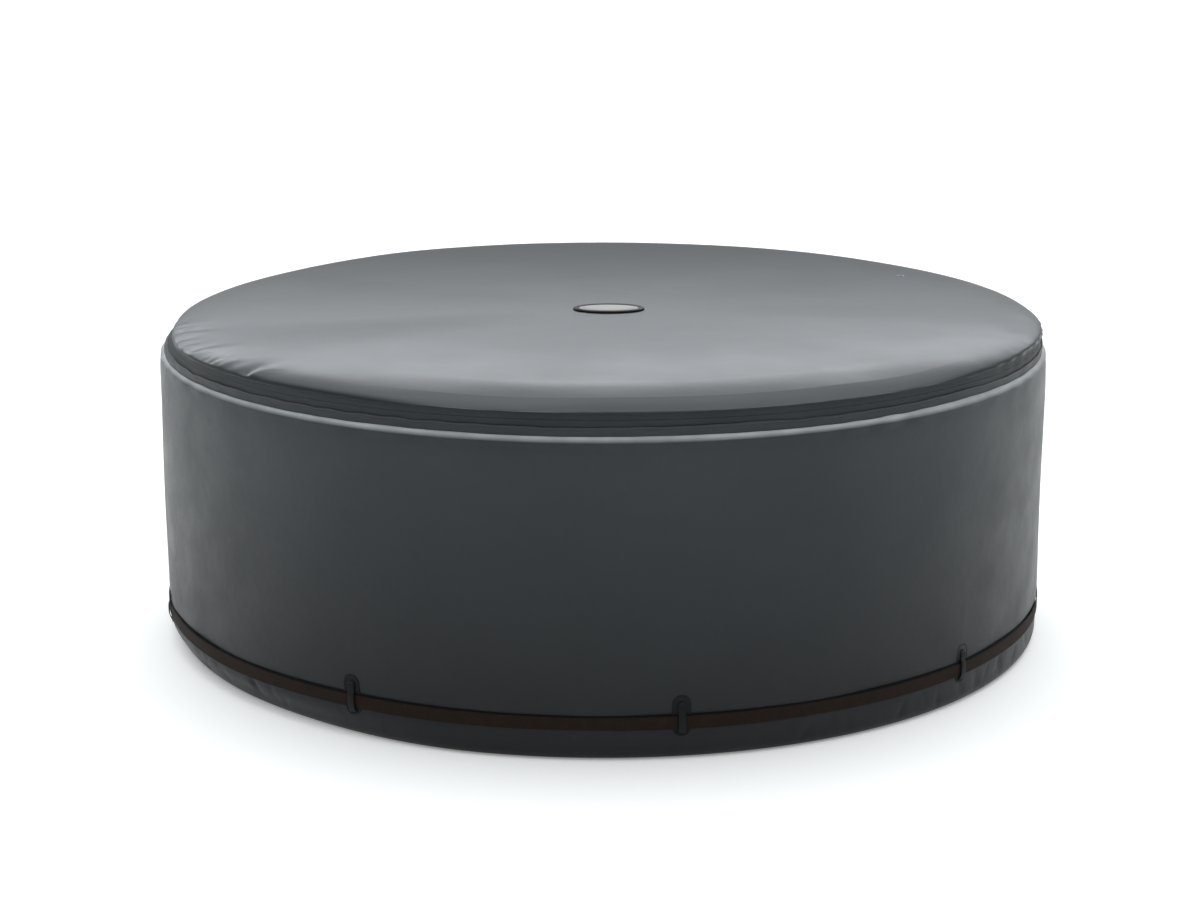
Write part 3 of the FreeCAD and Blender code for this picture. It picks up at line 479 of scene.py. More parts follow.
# The CAD nodes that show as they are. The other nodes are replaced below.
NODE_MATERIALS = {
    PVC: ["tub_base_ring", "lid_bladder_bottom"],
    WEB: ["wall_webs"],
    FITTING: ["inlet_pipe", "outlet_pipe", "air_pipe", "inlet_strainer", "outlet_strainer", "pipe_lock_nuts",
              "drain_pipe", "drain_cap", "wall_valve_body", "wall_valve_cap", "lid_valve_body",
              "lid_valve_plug"],
    RUBBER: ["pipe_gaskets", "drain_gaskets", "drain_plug"],
    HOSE: ["air_hose"],
    FOAM: ["ground_mat"],
    BUCKLE: ["buckle_frame", "buckle_cam"],
    STEEL: ["buckle_pin", "buckle_spring"],
    ENAMEL: ["zip_slider", "zip_pull"],
}
for node_material, names in NODE_MATERIALS.items():
    for node_name in names:
        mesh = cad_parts[node_name].data
        mesh.materials.clear()
        mesh.materials.append(node_material)


# ---------------------------------------------------------------- camera, floor and light

def make_camera():
    """The camera that the picture is taken with."""
    camera = bpy.data.objects.new("camera", bpy.data.cameras.new("camera"))
    bpy.context.scene.collection.objects.link(camera)
    camera.location = (-0.0075, -5.98, 1.891)
    camera.rotation_euler = (math.pi / 2 - 0.2426, 0, 0)
    camera.data.lens = 73.83
    camera.data.sensor_width = 36
    camera.data.clip_end = 200
    bpy.context.scene.camera = camera


def area_light(name, location, target, size, power, colour):
    """A rectangular lamp that points at a target."""
    light = bpy.data.lights.new(name, "AREA")
    light.shape = "RECTANGLE"
    light.size, light.size_y = size
    light.energy = power
    light.color = colour
    lamp = bpy.data.objects.new(name, light)
    bpy.context.scene.collection.objects.link(lamp)
    lamp.location = location
    lamp.rotation_euler = (Vector(target) - Vector(location)).to_track_quat("-Z", "Y").to_euler()


def make_studio():
    """A pale floor under a sky, with a soft box behind the tub."""
    floor = bpy.data.materials.new("studio_floor")
    floor.use_nodes = True
    shader = floor.node_tree.nodes["Principled BSDF"]
    shader.inputs["Base Color"].default_value = (0.945, 0.925, 0.902, 1)
    shader.inputs["Roughness"].default_value = 0.9
    shader.inputs["Specular IOR Level"].default_value = 0.1
    shader.inputs["Emission Color"].default_value = (1, 1, 1, 1)
    shader.inputs["Emission Strength"].default_value = 0.22
    size = 120
    corners = [(-size, -size, 0), (size, -size, 0), (size, size, 0), (-size, size, 0)]
    ground = new_object("studio_ground", corners, [(0, 1, 2, 3)], floor, None, False)
    ground.location.z = -0.0005
    make_sky()
    area_light("back_softbox", (0, 1.7, 1.54), (0, -1.0, 1.30), (5.0, 0.20), 26, (0.95, 1.0, 1.04))
    bpy.context.scene.view_settings.view_transform = "Standard"


def make_sky():
    """A white tent: brightest overhead, paler round the back, dim on the side that the camera looks from."""
    world = bpy.data.worlds.new("studio")
    bpy.context.scene.world = world
    world.use_nodes = True
    nodes, links = world.node_tree.nodes, world.node_tree.links
    direction = nodes.new("ShaderNodeTexCoord").outputs["Generated"]
    parts = nodes.new("ShaderNodeSeparateXYZ")
    links.new(direction, parts.inputs[0])
    ramp = nodes.new("ShaderNodeValToRGB")
    ramp.color_ramp.interpolation = "EASE"
    levels = ramp.color_ramp.elements
    levels.remove(levels[1])
    for index, (position, level) in enumerate(SKY_LEVELS):
        stop = levels[0] if index == 0 else levels.new(position)
        stop.position = position
        stop.color = (*[level / SKY_PEAK] * 3, 1)
    links.new(parts.outputs[2], ramp.inputs[0])
    side = nodes.new("ShaderNodeMapRange")
    side.interpolation_type = "SMOOTHSTEP"
    for name, number in (("From Min", -0.3), ("From Max", 0.5),
                         ("To Min", 0.4 * SKY_PEAK), ("To Max", SKY_PEAK)):
        side.inputs[name].default_value = number
    links.new(parts.outputs[1], side.inputs["Value"])
    total = nodes.new("ShaderNodeMath")
    total.operation = "MULTIPLY"
    links.new(ramp.outputs[0], total.inputs[0])
    links.new(side.outputs[0], total.inputs[1])
    links.new(total.outputs[0], nodes["Background"].inputs["Strength"])
    nodes["Background"].inputs["Color"].default_value = (0.95, 1.0, 1.04, 1)


# How bright the sky is at several sines of the elevation.
SKY_LEVELS = [(0.0, 0.40), (0.2, 0.41), (0.35, 0.47), (0.6, 1.35), (0.85, 2.9), (1.0, 3.3)]
SKY_PEAK = 3.3

make_camera()
make_studio()


# ---------------------------------------------------------------- jacket

COLUMNS = 960
AZIMUTH = round_azimuths(COLUMNS)
CROWN_HIGH = RIDGE_HIGH + 0.0006


def port_holes():
    """Where the pipes cross the jacket: side, height, the radius left open and azimuth."""
    holes = [(middle_of(pipe).x, middle_of(pipe).z, 0.025, BACK) for pipe in PIPES]
    drain = middle_of("drain_cap")
    holes.append((0.0, drain.z, 0.014, math.degrees(math.atan2(drain.x, -drain.y))))
    return holes


def ridge_drop(azimuth):
    """How far the hand-sewn top ridge sits below its drawn height, most at the left of the front."""
    slow = 0.5 + 0.5 * np.cos(np.radians(apart(azimuth, -48)))
    return 0.0030 * slow + 0.0005 * ripple(azimuth, 3, 11, 5)


def foot_folds(azimuth, height):
    """Small slanted folds between the strap and the floor, deepest at the two front sides."""
    random = np.random.RandomState(14)
    folds = np.zeros(np.broadcast(azimuth, height).shape)
    under = smooth(0.004, 0.03, height) * (1 - smooth(0.060, 0.072, height))
    for _ in range(150):
        centre = random.uniform(-180, 180)
        side = max(window(centre, -60, 16, 20), window(centre, 42, 22, 18))
        depth = random.uniform(0.0008, 0.0028) * (0.35 + 0.65 * side)
        width = random.uniform(0.25, 0.8)
        slant = random.uniform(-40, 40)
        middle = random.uniform(0.02, 0.06)
        away = apart(azimuth, centre) - slant * (height - middle)
        folds -= depth * np.exp(-(away / width) ** 2) * np.exp(-((height - middle) / 0.022) ** 2)
    return folds * under


def foot_tuck(azimuth, height):
    """How far the foot is drawn in under the strap at the left of the front."""
    return FOOT_TUCK * window(azimuth, -58, 14, 30) * (1 - smooth(0.0, 0.060, height))


def weld_lines(azimuth, height):
    """Faint upright lines above the patches, where the fabric is welded to the webs behind it."""
    relief = np.zeros(np.broadcast(azimuth, height).shape)
    for centre in LOOP_AZIMUTHS:
        away = apart(azimuth, centre + 0.1)
        fade = smooth(0.14, 0.16, height) * (1 - smooth(0.2, 0.32, height))
        relief += 0.0005 * np.exp(-(away / 0.22) ** 2) * fade
    return relief


def wall_points():
    """The jacket's wall from the seam under its foot over the ridge to the seam with the top flange."""
    edge = WALL_RADIUS - 0.0003
    foot = FOOT_ROUND - HEM_HIGH
    turn_in = WALL_RADIUS - FOOT_ROUND
    bead_low, bead_high = RIDGE_HIGH - 0.0115, RIDGE_HIGH - 0.0092
    radius, height = outline(
        (FOOT_SEAM, HEM_HIGH), 2, (turn_in, HEM_HIGH),
        arc((turn_in, FOOT_ROUND), foot, -90, 0, 14),
        (WALL_RADIUS, FOOT_ROUND), 26, (WALL_RADIUS, 0.16), 34, (WALL_RADIUS, 0.665), 8,
        (edge, bead_low), 2, (edge - 0.0008, bead_high), 5, (COLLAR_RADIUS + 0.0016, CROWN_HIGH - 0.0008), 2,
        (COLLAR_RADIUS - 0.0006, CROWN_HIGH - 0.0006), 3, (RIDGE_SEAM, RIDGE_HIGH),
    )
    azimuth = AZIMUTH[None, :]
    belly = smooth(0.03, 0.09, height) * (1 - smooth(0.60, 0.69, height))
    swell = 0.0010 * ripple(azimuth, 2, 7, 1) * np.sin(np.pi * np.clip(height / 0.7, 0, 1))
    swell = swell + 0.0012 * smooth(0.0, 0.05, height) * (1 - smooth(0.66, 0.70, height))
    swell = swell + 0.0008 * ripple(azimuth, 5, 16, 2) * belly
    swell = swell + 0.0004 * ripple(azimuth, 12, 34, 3) * belly * np.sin(height * 13)
    swell = swell * (1 - window(azimuth, FLAP_AZIMUTH, 5, 4))
    middle = (STRAP_LOW + STRAP_HIGH) / 2
    pinch = -0.0016 * np.exp(-((height - middle) / 0.022) ** 2)
    crumple = 0.0005 * ripple(azimuth, 30, 90, 6) * smooth(0.675, 0.694, height)
    out = radius + swell + pinch + foot_folds(azimuth, height) + weld_lines(azimuth, height)
    out = out + crumple * (1 - smooth(0.700, 0.706, height))
    out = out - foot_tuck(azimuth, height) * smooth(1.030, 1.076, radius)
    lift = smooth(RIDGE_HIGH - 0.06, RIDGE_HIGH, height)
    up = height - ridge_drop(azimuth) * lift + crumple * 0.6
    return place(azimuth, out, up)


def open_holes(points, holes):
    """A mask of the grid's points that lie inside round holes (side, up, radius, azimuth)."""
    flat = points.reshape(-1, 3)
    inside = np.zeros(len(flat), bool)
    for side, up, radius, azimuth in holes:
        angle = math.radians(azimuth)
        along = flat[:, 0] * math.cos(angle) + flat[:, 1] * math.sin(angle)
        ahead = flat[:, 0] * math.sin(angle) - flat[:, 1] * math.cos(angle)
        sign = math.copysign(1, math.cos(angle))
        here = (along - side * sign) ** 2 + (flat[:, 2] - up) ** 2 < radius ** 2
        inside |= here & (ahead > 0)
    return inside


def make_outer_wall():
    """The tub's own outer film, just behind the jacket."""
    points = wall_points()[:, ::4]
    points = points[points[:, 0, 2] < 0.692]
    radius = np.hypot(points[..., 0], points[..., 1])
    points[..., :2] *= (1 - 0.0052 / radius)[..., None]
    points[..., 2] = np.maximum(points[..., 2], 0.0058)
    film = skin("tub_outer_wall_film", points, PVC, "tub", 0.0, port_holes())
    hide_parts("tub_outer_wall")


def make_jacket():
    """The jacket's wall, its flange over the top of the tub and its hem under the foot."""
    wall = skin("jacket_wall_skin", wall_points(), JACKET, "tub", CLOTH_THICK, port_holes())
    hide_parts("jacket_wall")

    azimuth = AZIMUTH[None, :]
    radius, height = outline(line((RIDGE_SEAM + 0.0002, FLANGE_HIGH), (0.900, FLANGE_HIGH - 0.0012), 16))
    wobble = 0.0008 * ripple(azimuth, 9, 40, 21) * smooth(1.06, 0.98, radius)
    drop = 0.8 * ridge_drop(azimuth) * smooth(1.0, RIDGE_SEAM, radius)
    points = place(azimuth, radius, height - drop + wobble)
    flange = skin("jacket_top_flange_skin", points, COLLAR, "tub", CLOTH_THICK)
    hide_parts("jacket_top_flange")

    points = place(azimuth, *outline(line((FOOT_SEAM - 0.0002, HEM_HIGH), (0.985, HEM_HIGH), 4)))
    hem = skin("jacket_hem_skin", points, JACKET, "tub", -CLOTH_THICK)
    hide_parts("jacket_hem")


def make_collar():
    """The narrow standing band above the ridge; its bound top edge wavers a little."""
    azimuth = AZIMUTH[None, :]
    drop = ridge_drop(azimuth) * 0.8
    waver = 0.0005 * ripple(azimuth, 20, 90, 8) + 0.0006 * ripple(azimuth, 4, 12, 9)
    low, high = COLLAR_LOW - 0.001, COLLAR_HIGH + 0.0007
    edge = COLLAR_RADIUS - 0.0010
    radius, height = outline(
        (edge - 0.0026, low), 4, (edge - 0.0026, high - 0.0014),
        arc((edge - 0.0012, high - 0.0014), 0.0014, 180, -20, 9),
        (edge + 0.0001, high - 0.0020), 2, (edge + 0.0001, high - 0.0038),
        line((edge - 0.0008, high - 0.0044), (edge - 0.0004, high - 0.0056), 1),
        (edge - 0.0004, high - 0.0056), 6, (edge + 0.0008, COLLAR_LOW + 0.001), 1, (edge + 0.0016, low),
    )
    near_top = smooth(COLLAR_LOW, high, height)
    puff = 0.0005 * ripple(azimuth, 25, 80, 10) * np.sin(np.pi * near_top)
    up = height - drop * (1 - 0.3 * near_top) + waver * near_top
    points = place(azimuth, radius + puff + side_bulge(azimuth) * near_top, up)
    collar = skin("jacket_collar_band", lean_in(points), COLLAR, "tub")
    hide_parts("jacket_collar")


# ---------------------------------------------------------------- zip band

def side_bulge(azimuth):
    """The band stands out a little more at the two sides, and not at all at the hinge."""
    sides = np.maximum(window(azimuth, -88, 26, 30), window(azimuth, 90, 28, 30))
    return 0.0028 * sides * (1 - window(azimuth, BACK, 30, 20))


def make_zip_band():
    """Two woven tapes that meet edge to edge over the hidden coils."""
    azimuth = AZIMUTH[None, :]
    wave = 0.0005 * ripple(azimuth, 6, 30, 31) * (1 - window(azimuth, BACK, 25, 20))
    outward = wave + side_bulge(azimuth)
    lower = outline(line((TAPE_RADIUS, TAPE_LOW), (TAPE_RADIUS, ZIP_MIDDLE), 10),
                    np.array([(TAPE_RADIUS, ZIP_MIDDLE - 0.0001)]))
    upper = outline(line((TAPE_RADIUS, ZIP_MIDDLE + 0.0001), (TAPE_RADIUS - 0.0008, TAPE_HIGH), 9))
    for prefix, body, (radius, height) in (("lower", "tub", lower), ("upper", "lid", upper)):
        share = smooth(COLLAR_HIGH - 0.004, ZIP_MIDDLE, height)
        points = place(azimuth, radius + outward + 0.5 * side_crumple(azimuth) * share, height)
        cloth = skin(f"{prefix}_zip_tape_cloth", lean_in(points), TAPE, body, CLOTH_THICK)
        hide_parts(f"{prefix}_zip_tape")
    make_coil("lower_zip_coil", "tub", ZIP_MIDDLE - 0.0004, -1, outward)
    make_coil("upper_zip_coil", "lid", ZIP_MIDDLE + 0.0004, 1, outward)


def make_coil(node, body, edge, direction, outward):
    """The zip's coil, as a fat toothed bead behind the tape."""
    turns = np.linspace(0, 2 * math.pi, 8, endpoint=False)
    radius = TAPE_RADIUS - CLOTH_THICK - 0.0009 + 0.0008 * np.cos(turns)[:, None]
    height = edge + direction * 0.0013 + 0.0012 * np.sin(turns)[:, None]
    teeth = 0.0003 * np.where(np.arange(COLUMNS) % 2, 1, -1)[None, :]
    points = lean_in(place(AZIMUTH[None, :], radius + outward + teeth, height))
    bead = new_object(f"{node}_bead", points.reshape(-1, 3), grid_faces(8, COLUMNS, True, True), COIL, body)
    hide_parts(node)


def make_hinge_strip():
    """The fabric strip at the back that the lid swings on."""
    half = 9
    azimuth = np.linspace(BACK - half, BACK + half, 73)
    low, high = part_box("lid_hinge_strip")
    outside = TAPE_RADIUS + 0.0019
    radius, height = outline((outside, low.z), 14, (outside, high.z))
    puff = 0.0005 * np.sin(np.radians(azimuth * 40))[None, :]
    points = place(azimuth[None, :], radius + puff, height)
    strip = skin("lid_hinge_cloth", points, COLLAR, None, 0.001, closed=False)
    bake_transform(strip)
    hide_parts("lid_hinge_strip")


# ---------------------------------------------------------------- lid

SEAM_HIGH = LIP_LOW + 0.0027


def lid_soft(azimuth):
    """How soft and rolled the lip is: 0 across the front, 1 at the two sides."""
    left = window(azimuth, -74, 38, 24)
    right = window(azimuth, 80, 16, 34)
    return np.maximum(np.maximum(left, right), window(azimuth, BACK, 60, 30))


def side_crumple(azimuth):
    """Short crumples that cross the lip and the band at the right, and fainter ones at the left."""
    right = window(azimuth, 70, 14, 10)
    left = 0.3 * window(azimuth, -80, 14, 10)
    return 0.0010 * ripple(azimuth, 40, 110, 51) * np.maximum(right, left)


CROWN_RADIUS = 0.80
WEB_SPACING = 0.25
WEB_LINES = [-0.875 + WEB_SPACING * i for i in range(8)]
LID_ROWS = 150
CREASE_STEP = 0.7
SHOULDER_RADIUS = 0.925
CREASE_RADIUS = LIP_RADIUS - 0.0488


def lid_profile(azimuth, step):
    """Radius and height of the lid's skin, from the centre (step 0) over the crease to the seam (step 1).

    The air in the lid lifts a broad crown inside the edge. Across the front the skin then falls to a crease
    and a slanting lip, and at the sides and the back it rolls down in one curve.
    """
    soft = lid_soft(azimuth)
    at_back = window(azimuth, BACK, 46, 44)
    droop = np.maximum(window(azimuth, -100, 22, 34), 0.5 * window(azimuth, 112, 14, 30))
    crown_high = LID_HIGH + 0.0115 * (1 - 0.95 * at_back) - 0.0160 * droop * (1 - 0.6 * at_back)
    crease_high = LID_HIGH + 0.0010
    seam_radius = LIP_RADIUS - 0.0013 + side_bulge(azimuth)
    top_share = np.clip(step / CREASE_STEP, 0, 1)
    share = np.clip((step - CREASE_STEP) / (1 - CREASE_STEP), 0, 1)
    top_radius = CREASE_RADIUS * (1 - (1 - top_share) ** 1.4)
    lip_radius = CREASE_RADIUS + (seam_radius - CREASE_RADIUS) * np.sin(share * np.pi / 2)
    radius = np.where(step > CREASE_STEP, lip_radius, top_radius)
    plateau = LID_HIGH - 0.0003 + (crown_high - LID_HIGH) * smooth(0.12, CROWN_RADIUS, radius)
    past = np.clip((radius - SHOULDER_RADIUS) / (CREASE_RADIUS - SHOULDER_RADIUS), 0, 1) ** 1.6
    fall = plateau - (crown_high - crease_high) * past
    down = np.clip((radius - CREASE_RADIUS) / (seam_radius - CREASE_RADIUS), 0, 1)
    bow = 0.0022 * np.sin(np.pi * down)
    creased = np.where(step > CREASE_STEP, crease_high + (SEAM_HIGH - crease_high) * down + bow, fall)
    reach = np.clip((radius - CROWN_RADIUS) / (seam_radius - CROWN_RADIUS), 0, 1)
    flat_back = np.sqrt(1 - reach ** 8)
    round_side = 0.5 * np.sqrt(1 - reach ** 14) + 0.5 * (1 - reach ** 3.2)
    rolled = SEAM_HIGH + (plateau - SEAM_HIGH) * (flat_back * at_back + round_side * (1 - at_back))
    return radius, creased + (rolled - creased) * smooth(0.0, 0.9, soft)


def gathers(azimuth, radius):
    """Puckers that run inward from the seam, in groups at the two sides."""
    random = np.random.RandomState(33)
    relief = np.zeros(np.broadcast(azimuth, radius).shape)
    groups = ((-66, 20, 34, 0.85), (74, 22, 20, 0.22), (-8, 40, 12, 0.15), (180, 80, 40, 0.08))
    for centre, half, count, strength in groups:
        for _ in range(count):
            here = centre + random.uniform(-half, half)
            width = random.uniform(0.40, 1.05)
            length = random.uniform(0.030, 0.095)
            depth = random.uniform(0.0006, 0.0019) * strength
            slant = random.uniform(-14, 14)
            inward = LIP_RADIUS - radius
            away = apart(azimuth, here) - slant * inward
            fade = np.exp(-(inward / length) ** 2) * smooth(-0.002, 0.008, inward)
            spread = width * (1 + 2.0 * inward / 0.1)
            relief -= depth * np.exp(-(away / spread) ** 2) * fade
            relief += 0.55 * depth * np.exp(-((away - 1.7 * spread) / spread) ** 2) * fade
    return relief


def lid_points():
    """The lid's skin with its puckers, dents and crumples, and the edge turned under the lip."""
    step = (np.arange(LID_ROWS + 1) / LID_ROWS)[:, None]
    azimuth = AZIMUTH[None, :]
    radius, height = lid_profile(azimuth, step)
    relief = gathers(azimuth, radius)
    front = 1 - 0.75 * window(azimuth, BACK, 60, 40)
    dents = 0.0008 * ripple(azimuth, 3, 9, 41) * smooth(0.80, 1.0, radius) * front
    dents = dents + 0.0007 * ripple(azimuth, 8, 22, 42) * smooth(0.96, 1.04, radius) * front
    lip = smooth(0.70, 0.90, step) * (1 - 0.6 * smooth(0.9, 1.0, step))
    crumple = 0.4 * side_crumple(azimuth) * smooth(0.93, 1.0, step)
    height = height + (relief + dents) * (1 - 0.45 * lip) * (1 - 0.8 * smooth(0.93, 1.0, step))
    radius = radius + relief * 0.8 * lip + crumple * 1.6
    height = height + crumple
    edge_radius = radius[-1:]
    edge_high = height[-1:] + 0.0005 * ripple(azimuth, 20, 90, 43)
    for out, down in ((0.0010, 0.0006), (0.0009, 0.0018), (-0.0006, 0.0026), (-0.0050, 0.0022)):
        radius = np.vstack([radius, edge_radius + out])
        height = np.vstack([height, edge_high - down])
    return lean_in(place(azimuth, radius, height))


def make_lid():
    """The lid's cloth, closed at its centre."""
    points = lid_points()
    top = skin("lid_top_cloth", points[1:], LID, "lid")
    add_cap(top.data, points[0].mean(axis=0), COLUMNS)
    thicken(top, 0.0014)
    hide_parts("lid_top_panel")


def add_cap(mesh, centre, columns):
    """Close the first ring of a skin with a fan round its centre."""
    work = bmesh.new()
    work.from_mesh(mesh)
    hub = work.verts.new(centre)
    work.verts.ensure_lookup_table()
    for j in range(columns):
        work.faces.new((hub, work.verts[(j + 1) % columns], work.verts[j])).smooth = True
    bmesh.ops.recalc_face_normals(work, faces=work.faces)
    work.to_mesh(mesh)
    work.free()


def away_from(node, points):
    """How far each point of a grid is from the upright line through a node's middle."""
    middle = middle_of(node)
    return np.hypot(points[..., 0] - middle.x, points[..., 1] - middle.y)


def faces_outside(near, reach):
    """Quads of a grid closed round its columns, without those that come within reach of a fitting."""
    keep = near.reshape(-1) > reach
    return [f for f in grid_faces(*near.shape, True) if keep[list(f)].all()]


def make_liner():
    """The film pan under the lid: it sags between the webs that hold its two faces together."""
    columns = 480
    edge = LINER_RADIUS - 0.0006
    bottom = LINER_LOW + 0.0006
    radius, height = outline(
        (0.010, bottom), 70, (edge - 0.012, bottom),
        arc((edge - 0.012, bottom + 0.012), 0.012, -90, 0, 8),
        (edge, bottom + 0.012), 8, (edge, LINER_HIGH),
    )
    points = place(round_azimuths(columns)[None, :], radius, height)
    x, y = points[..., 0], points[..., 1]
    strip = np.abs(np.sin(np.pi * (y - WEB_LINES[0]) / WEB_SPACING)) ** 0.8
    sag = 0.0065 * strip * smooth(0.795, 0.74, radius)
    uneven = 0.0009 * np.sin(x * 31 + 3 * np.sin(y * 17)) * smooth(0.79, 0.72, radius)
    level = height < bottom + 0.001
    points[..., 2] -= np.where(level, sag + uneven, 0)
    near = away_from("lid_valve_body", points)
    points[..., 2] += (bottom - points[..., 2]) * (1 - smooth(0.03, 0.08, near)) * level
    faces = faces_outside(near, 0.0165)
    liner = new_object("lid_liner_film", lean_in(points).reshape(-1, 3), faces, LINER, "lid")
    add_cap(liner.data, points[0].mean(axis=0), columns)
    thicken(liner, 0.0006, 0)
    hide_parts("lid_liner")


def make_bladder():
    """The sealed air bladder inside the lid: its top and rim follow the cloth, and webs hold it together."""
    rows, columns = 48, 240
    azimuth = round_azimuths(columns)[None, :]
    low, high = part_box("lid_bladder_rim")
    step = (np.arange(1, rows + 1) / rows)[:, None] * 0.93
    radius, height = lid_profile(azimuth, step)
    inside = (high.x - 0.003) / radius[-1:]
    radius = radius * inside
    height = height - 0.0072
    top = skin("lid_bladder_top_film", lean_in(place(azimuth, radius, height)), PVC, "lid")
    add_cap(top.data, (0, 0, height[0].mean()), columns)
    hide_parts("lid_bladder_top")
    share = np.linspace(0, 1, 9)[:, None]
    edge_high = height[-1:]
    bottom = low.z + 0.0006
    out = radius[-1:] + 0.002 * np.sin(np.pi * share)
    points = place(azimuth, out, edge_high + (bottom - edge_high) * share)
    rim = skin("lid_bladder_rim_film", lean_in(points), PVC, "lid")
    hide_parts("lid_bladder_rim")
    vertices, faces = [], []
    for across in WEB_LINES:
        half = math.sqrt(0.97 ** 2 - across ** 2)
        along = np.linspace(-half, half, 41)
        start = len(vertices)
        for x in along:
            vertices += [(x, across, bottom + 0.0004), (x, across, lid_height(x, across) - 0.0095)]
        faces += [(i, i + 2, i + 3, i + 1) for i in range(start, len(vertices) - 2, 2)]
    webs = new_object("lid_bladder_web_films", vertices, faces, WEB, "lid")
    thicken(webs, FILM_THICK, 0)
    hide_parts("lid_bladder_webs")


# ---------------------------------------------------------------- pieces on the wall

def on_wall(azimuth, side, out, up, tilt=0.0, pivot=0.0):
    """Points at an azimuth's own side, out and up, tilted about its outward line at the pivot height."""
    turn = math.radians(tilt)
    side, out, up = np.broadcast_arrays(np.asarray(side, float), out, up)
    across = side * math.cos(turn) - (up - pivot) * math.sin(turn)
    above = pivot + side * math.sin(turn) + (up - pivot) * math.cos(turn)
    angle = math.radians(azimuth)
    x = out * math.sin(angle) + across * math.cos(angle)
    y = -out * math.cos(angle) + across * math.sin(angle)
    return np.stack([x, y, above], axis=-1)


def on_cylinder(proud, side):
    """How far out a point lies that stands proud of the wall, at a distance to its side."""
    return np.sqrt((WALL_RADIUS + proud) ** 2 - side ** 2)


def close_ends(points):
    """A grid closed round its columns, with its first and last rows shrunk to their middles."""
    points = np.array(points)
    first = points[:1].mean(axis=1, keepdims=True) * np.ones_like(points[:1])
    last = points[-1:].mean(axis=1, keepdims=True) * np.ones_like(points[-1:])
    return np.concatenate([first, points, last])


def gather_mesh(name, grids, material, body, closed_rows=False):
    """One object from several grids that are closed round their columns."""
    vertices, faces = [], []
    for points in grids:
        start = len(vertices)
        rows, columns = points.shape[:2]
        vertices.extend(points.reshape(-1, 3))
        faces.extend(tuple(start + k for k in f) for f in grid_faces(rows, columns, True, closed_rows))
    thing = new_object(name, vertices, faces, material, body)
    work = bmesh.new()
    work.from_mesh(thing.data)
    bmesh.ops.remove_doubles(work, verts=work.verts, dist=1e-6)
    bmesh.ops.recalc_face_normals(work, faces=work.faces)
    work.to_mesh(thing.data)
    work.free()
    return thing


def stadium(half, low, high, inset, count=20):
    """A closed outline of (side, up) points with round ends, drawn in by an inset."""
    radius = half - inset
    ends = []
    for up, first in ((high - half, 0), (low + half, 180)):
        angle = np.radians(first + 180 * np.arange(count) / (count - 1))
        ends.append(np.stack([radius * np.cos(angle), up + radius * np.sin(angle)], axis=1))
    return np.vstack(ends)


PATCH_TILTS = [4.0, 5.5, 0.5, -4.0, 2.0, -3.0, 1.5, -2.0, 3.0]
PATCH_MIDDLE = middle_of("loop_patches").z
PATCH_HALF = 0.0207


def make_patches():
    """Welded patches with a raised border."""
    low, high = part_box("loop_patches")
    rings = [(0.0, 0.0002), (0.0, 0.0014), (0.0006, 0.0022), (0.0014, 0.0026), (0.0036, 0.0026),
             (0.0044, 0.0021), (0.0052, 0.0016), (0.010, 0.0016), (0.016, 0.0017), (0.0200, 0.0017)]
    grids = []
    for azimuth, tilt in zip(LOOP_AZIMUTHS, PATCH_TILTS):
        rows = []
        for inset, proud in rings:
            side, up = stadium(PATCH_HALF, low.z, high.z, inset).T
            rows.append(on_wall(azimuth, side, on_cylinder(proud, side), up, tilt, PATCH_MIDDLE))
        grids.append(close_ends(rows)[1:])
    patches = gather_mesh("loop_patch_welds", grids, PATCH, "tub")
    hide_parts("loop_patches")


BAR_STEPS = 4


def bar_section(half, thick):
    """A rounded bar's outline as (side, out) points, with BAR_STEPS steps round each end."""
    radius = thick / 2
    points = []
    for centre, first in ((half - radius, -90), (radius - half, 90)):
        angle = np.radians(first + 180 * np.arange(BAR_STEPS + 1) / BAR_STEPS)
        points.append(np.stack([centre + radius * np.cos(angle), radius * np.sin(angle)], axis=1))
    return np.vstack(points)


def make_loops():
    """Stiff strips welded to the patches, bowed out over the strap, with a folded D at the top."""
    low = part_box("strap_loops")[0].z
    on_patch = WALL_RADIUS + 0.0030
    proud = STRAP_RADIUS + 0.0042
    bowed = [(-0.0022, 0.0065), (-0.0004, 0.012), (0, 0.020), (0, 0.030), (-0.0008, 0.038),
             (-0.0030, 0.0435)]
    folded = [(0.0022, 0.0475), (0.0014, 0.0495), (0.0026, 0.0510), (0.0026, 0.0522), (0.0012, 0.0534),
              (0.0012, 0.0552), (0.0026, 0.0566), (0.0026, 0.0580), (0.0010, 0.0594), (0.0006, 0.0606)]
    path = [(on_patch - 0.0006, low - 0.0015), (on_patch + 0.0006, low + 0.0005)]
    path += [(proud + out, low + up) for out, up in bowed]
    path += [(on_patch + out, low + up) for out, up in folded]
    grids = []
    for azimuth, tilt in zip(LOOP_AZIMUTHS, PATCH_TILTS):
        lean = tilt * 0.8
        rows = []
        for out, up in path:
            section = bar_section(0.0083 if up < low + 0.049 else 0.0090, 0.0024)
            rows.append(on_wall(azimuth, section[:, 0], out + section[:, 1], up, lean, PATCH_MIDDLE))
        grids.append(close_ends(rows))
        rows = []
        for inset, lift in ((0, -0.0016), (0, 0.0006), (0.0006, 0.0014), (0.0016, 0.0017), (0.005, 0.0014)):
            angle = np.radians(np.linspace(0, 180, 17))
            side = (0.0088 - inset) * np.cos(angle)
            up = low + 0.0600 + inset * 0.4 + (0.0092 - 1.6 * inset) * np.sin(angle) ** 0.8
            rows.append(on_wall(azimuth, side, on_patch + lift, up, lean, PATCH_MIDDLE))
        grids.append(close_ends(rows)[1:])
    loops = gather_mesh("strap_loop_strips", grids, PATCH, "tub")
    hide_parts("strap_loops")


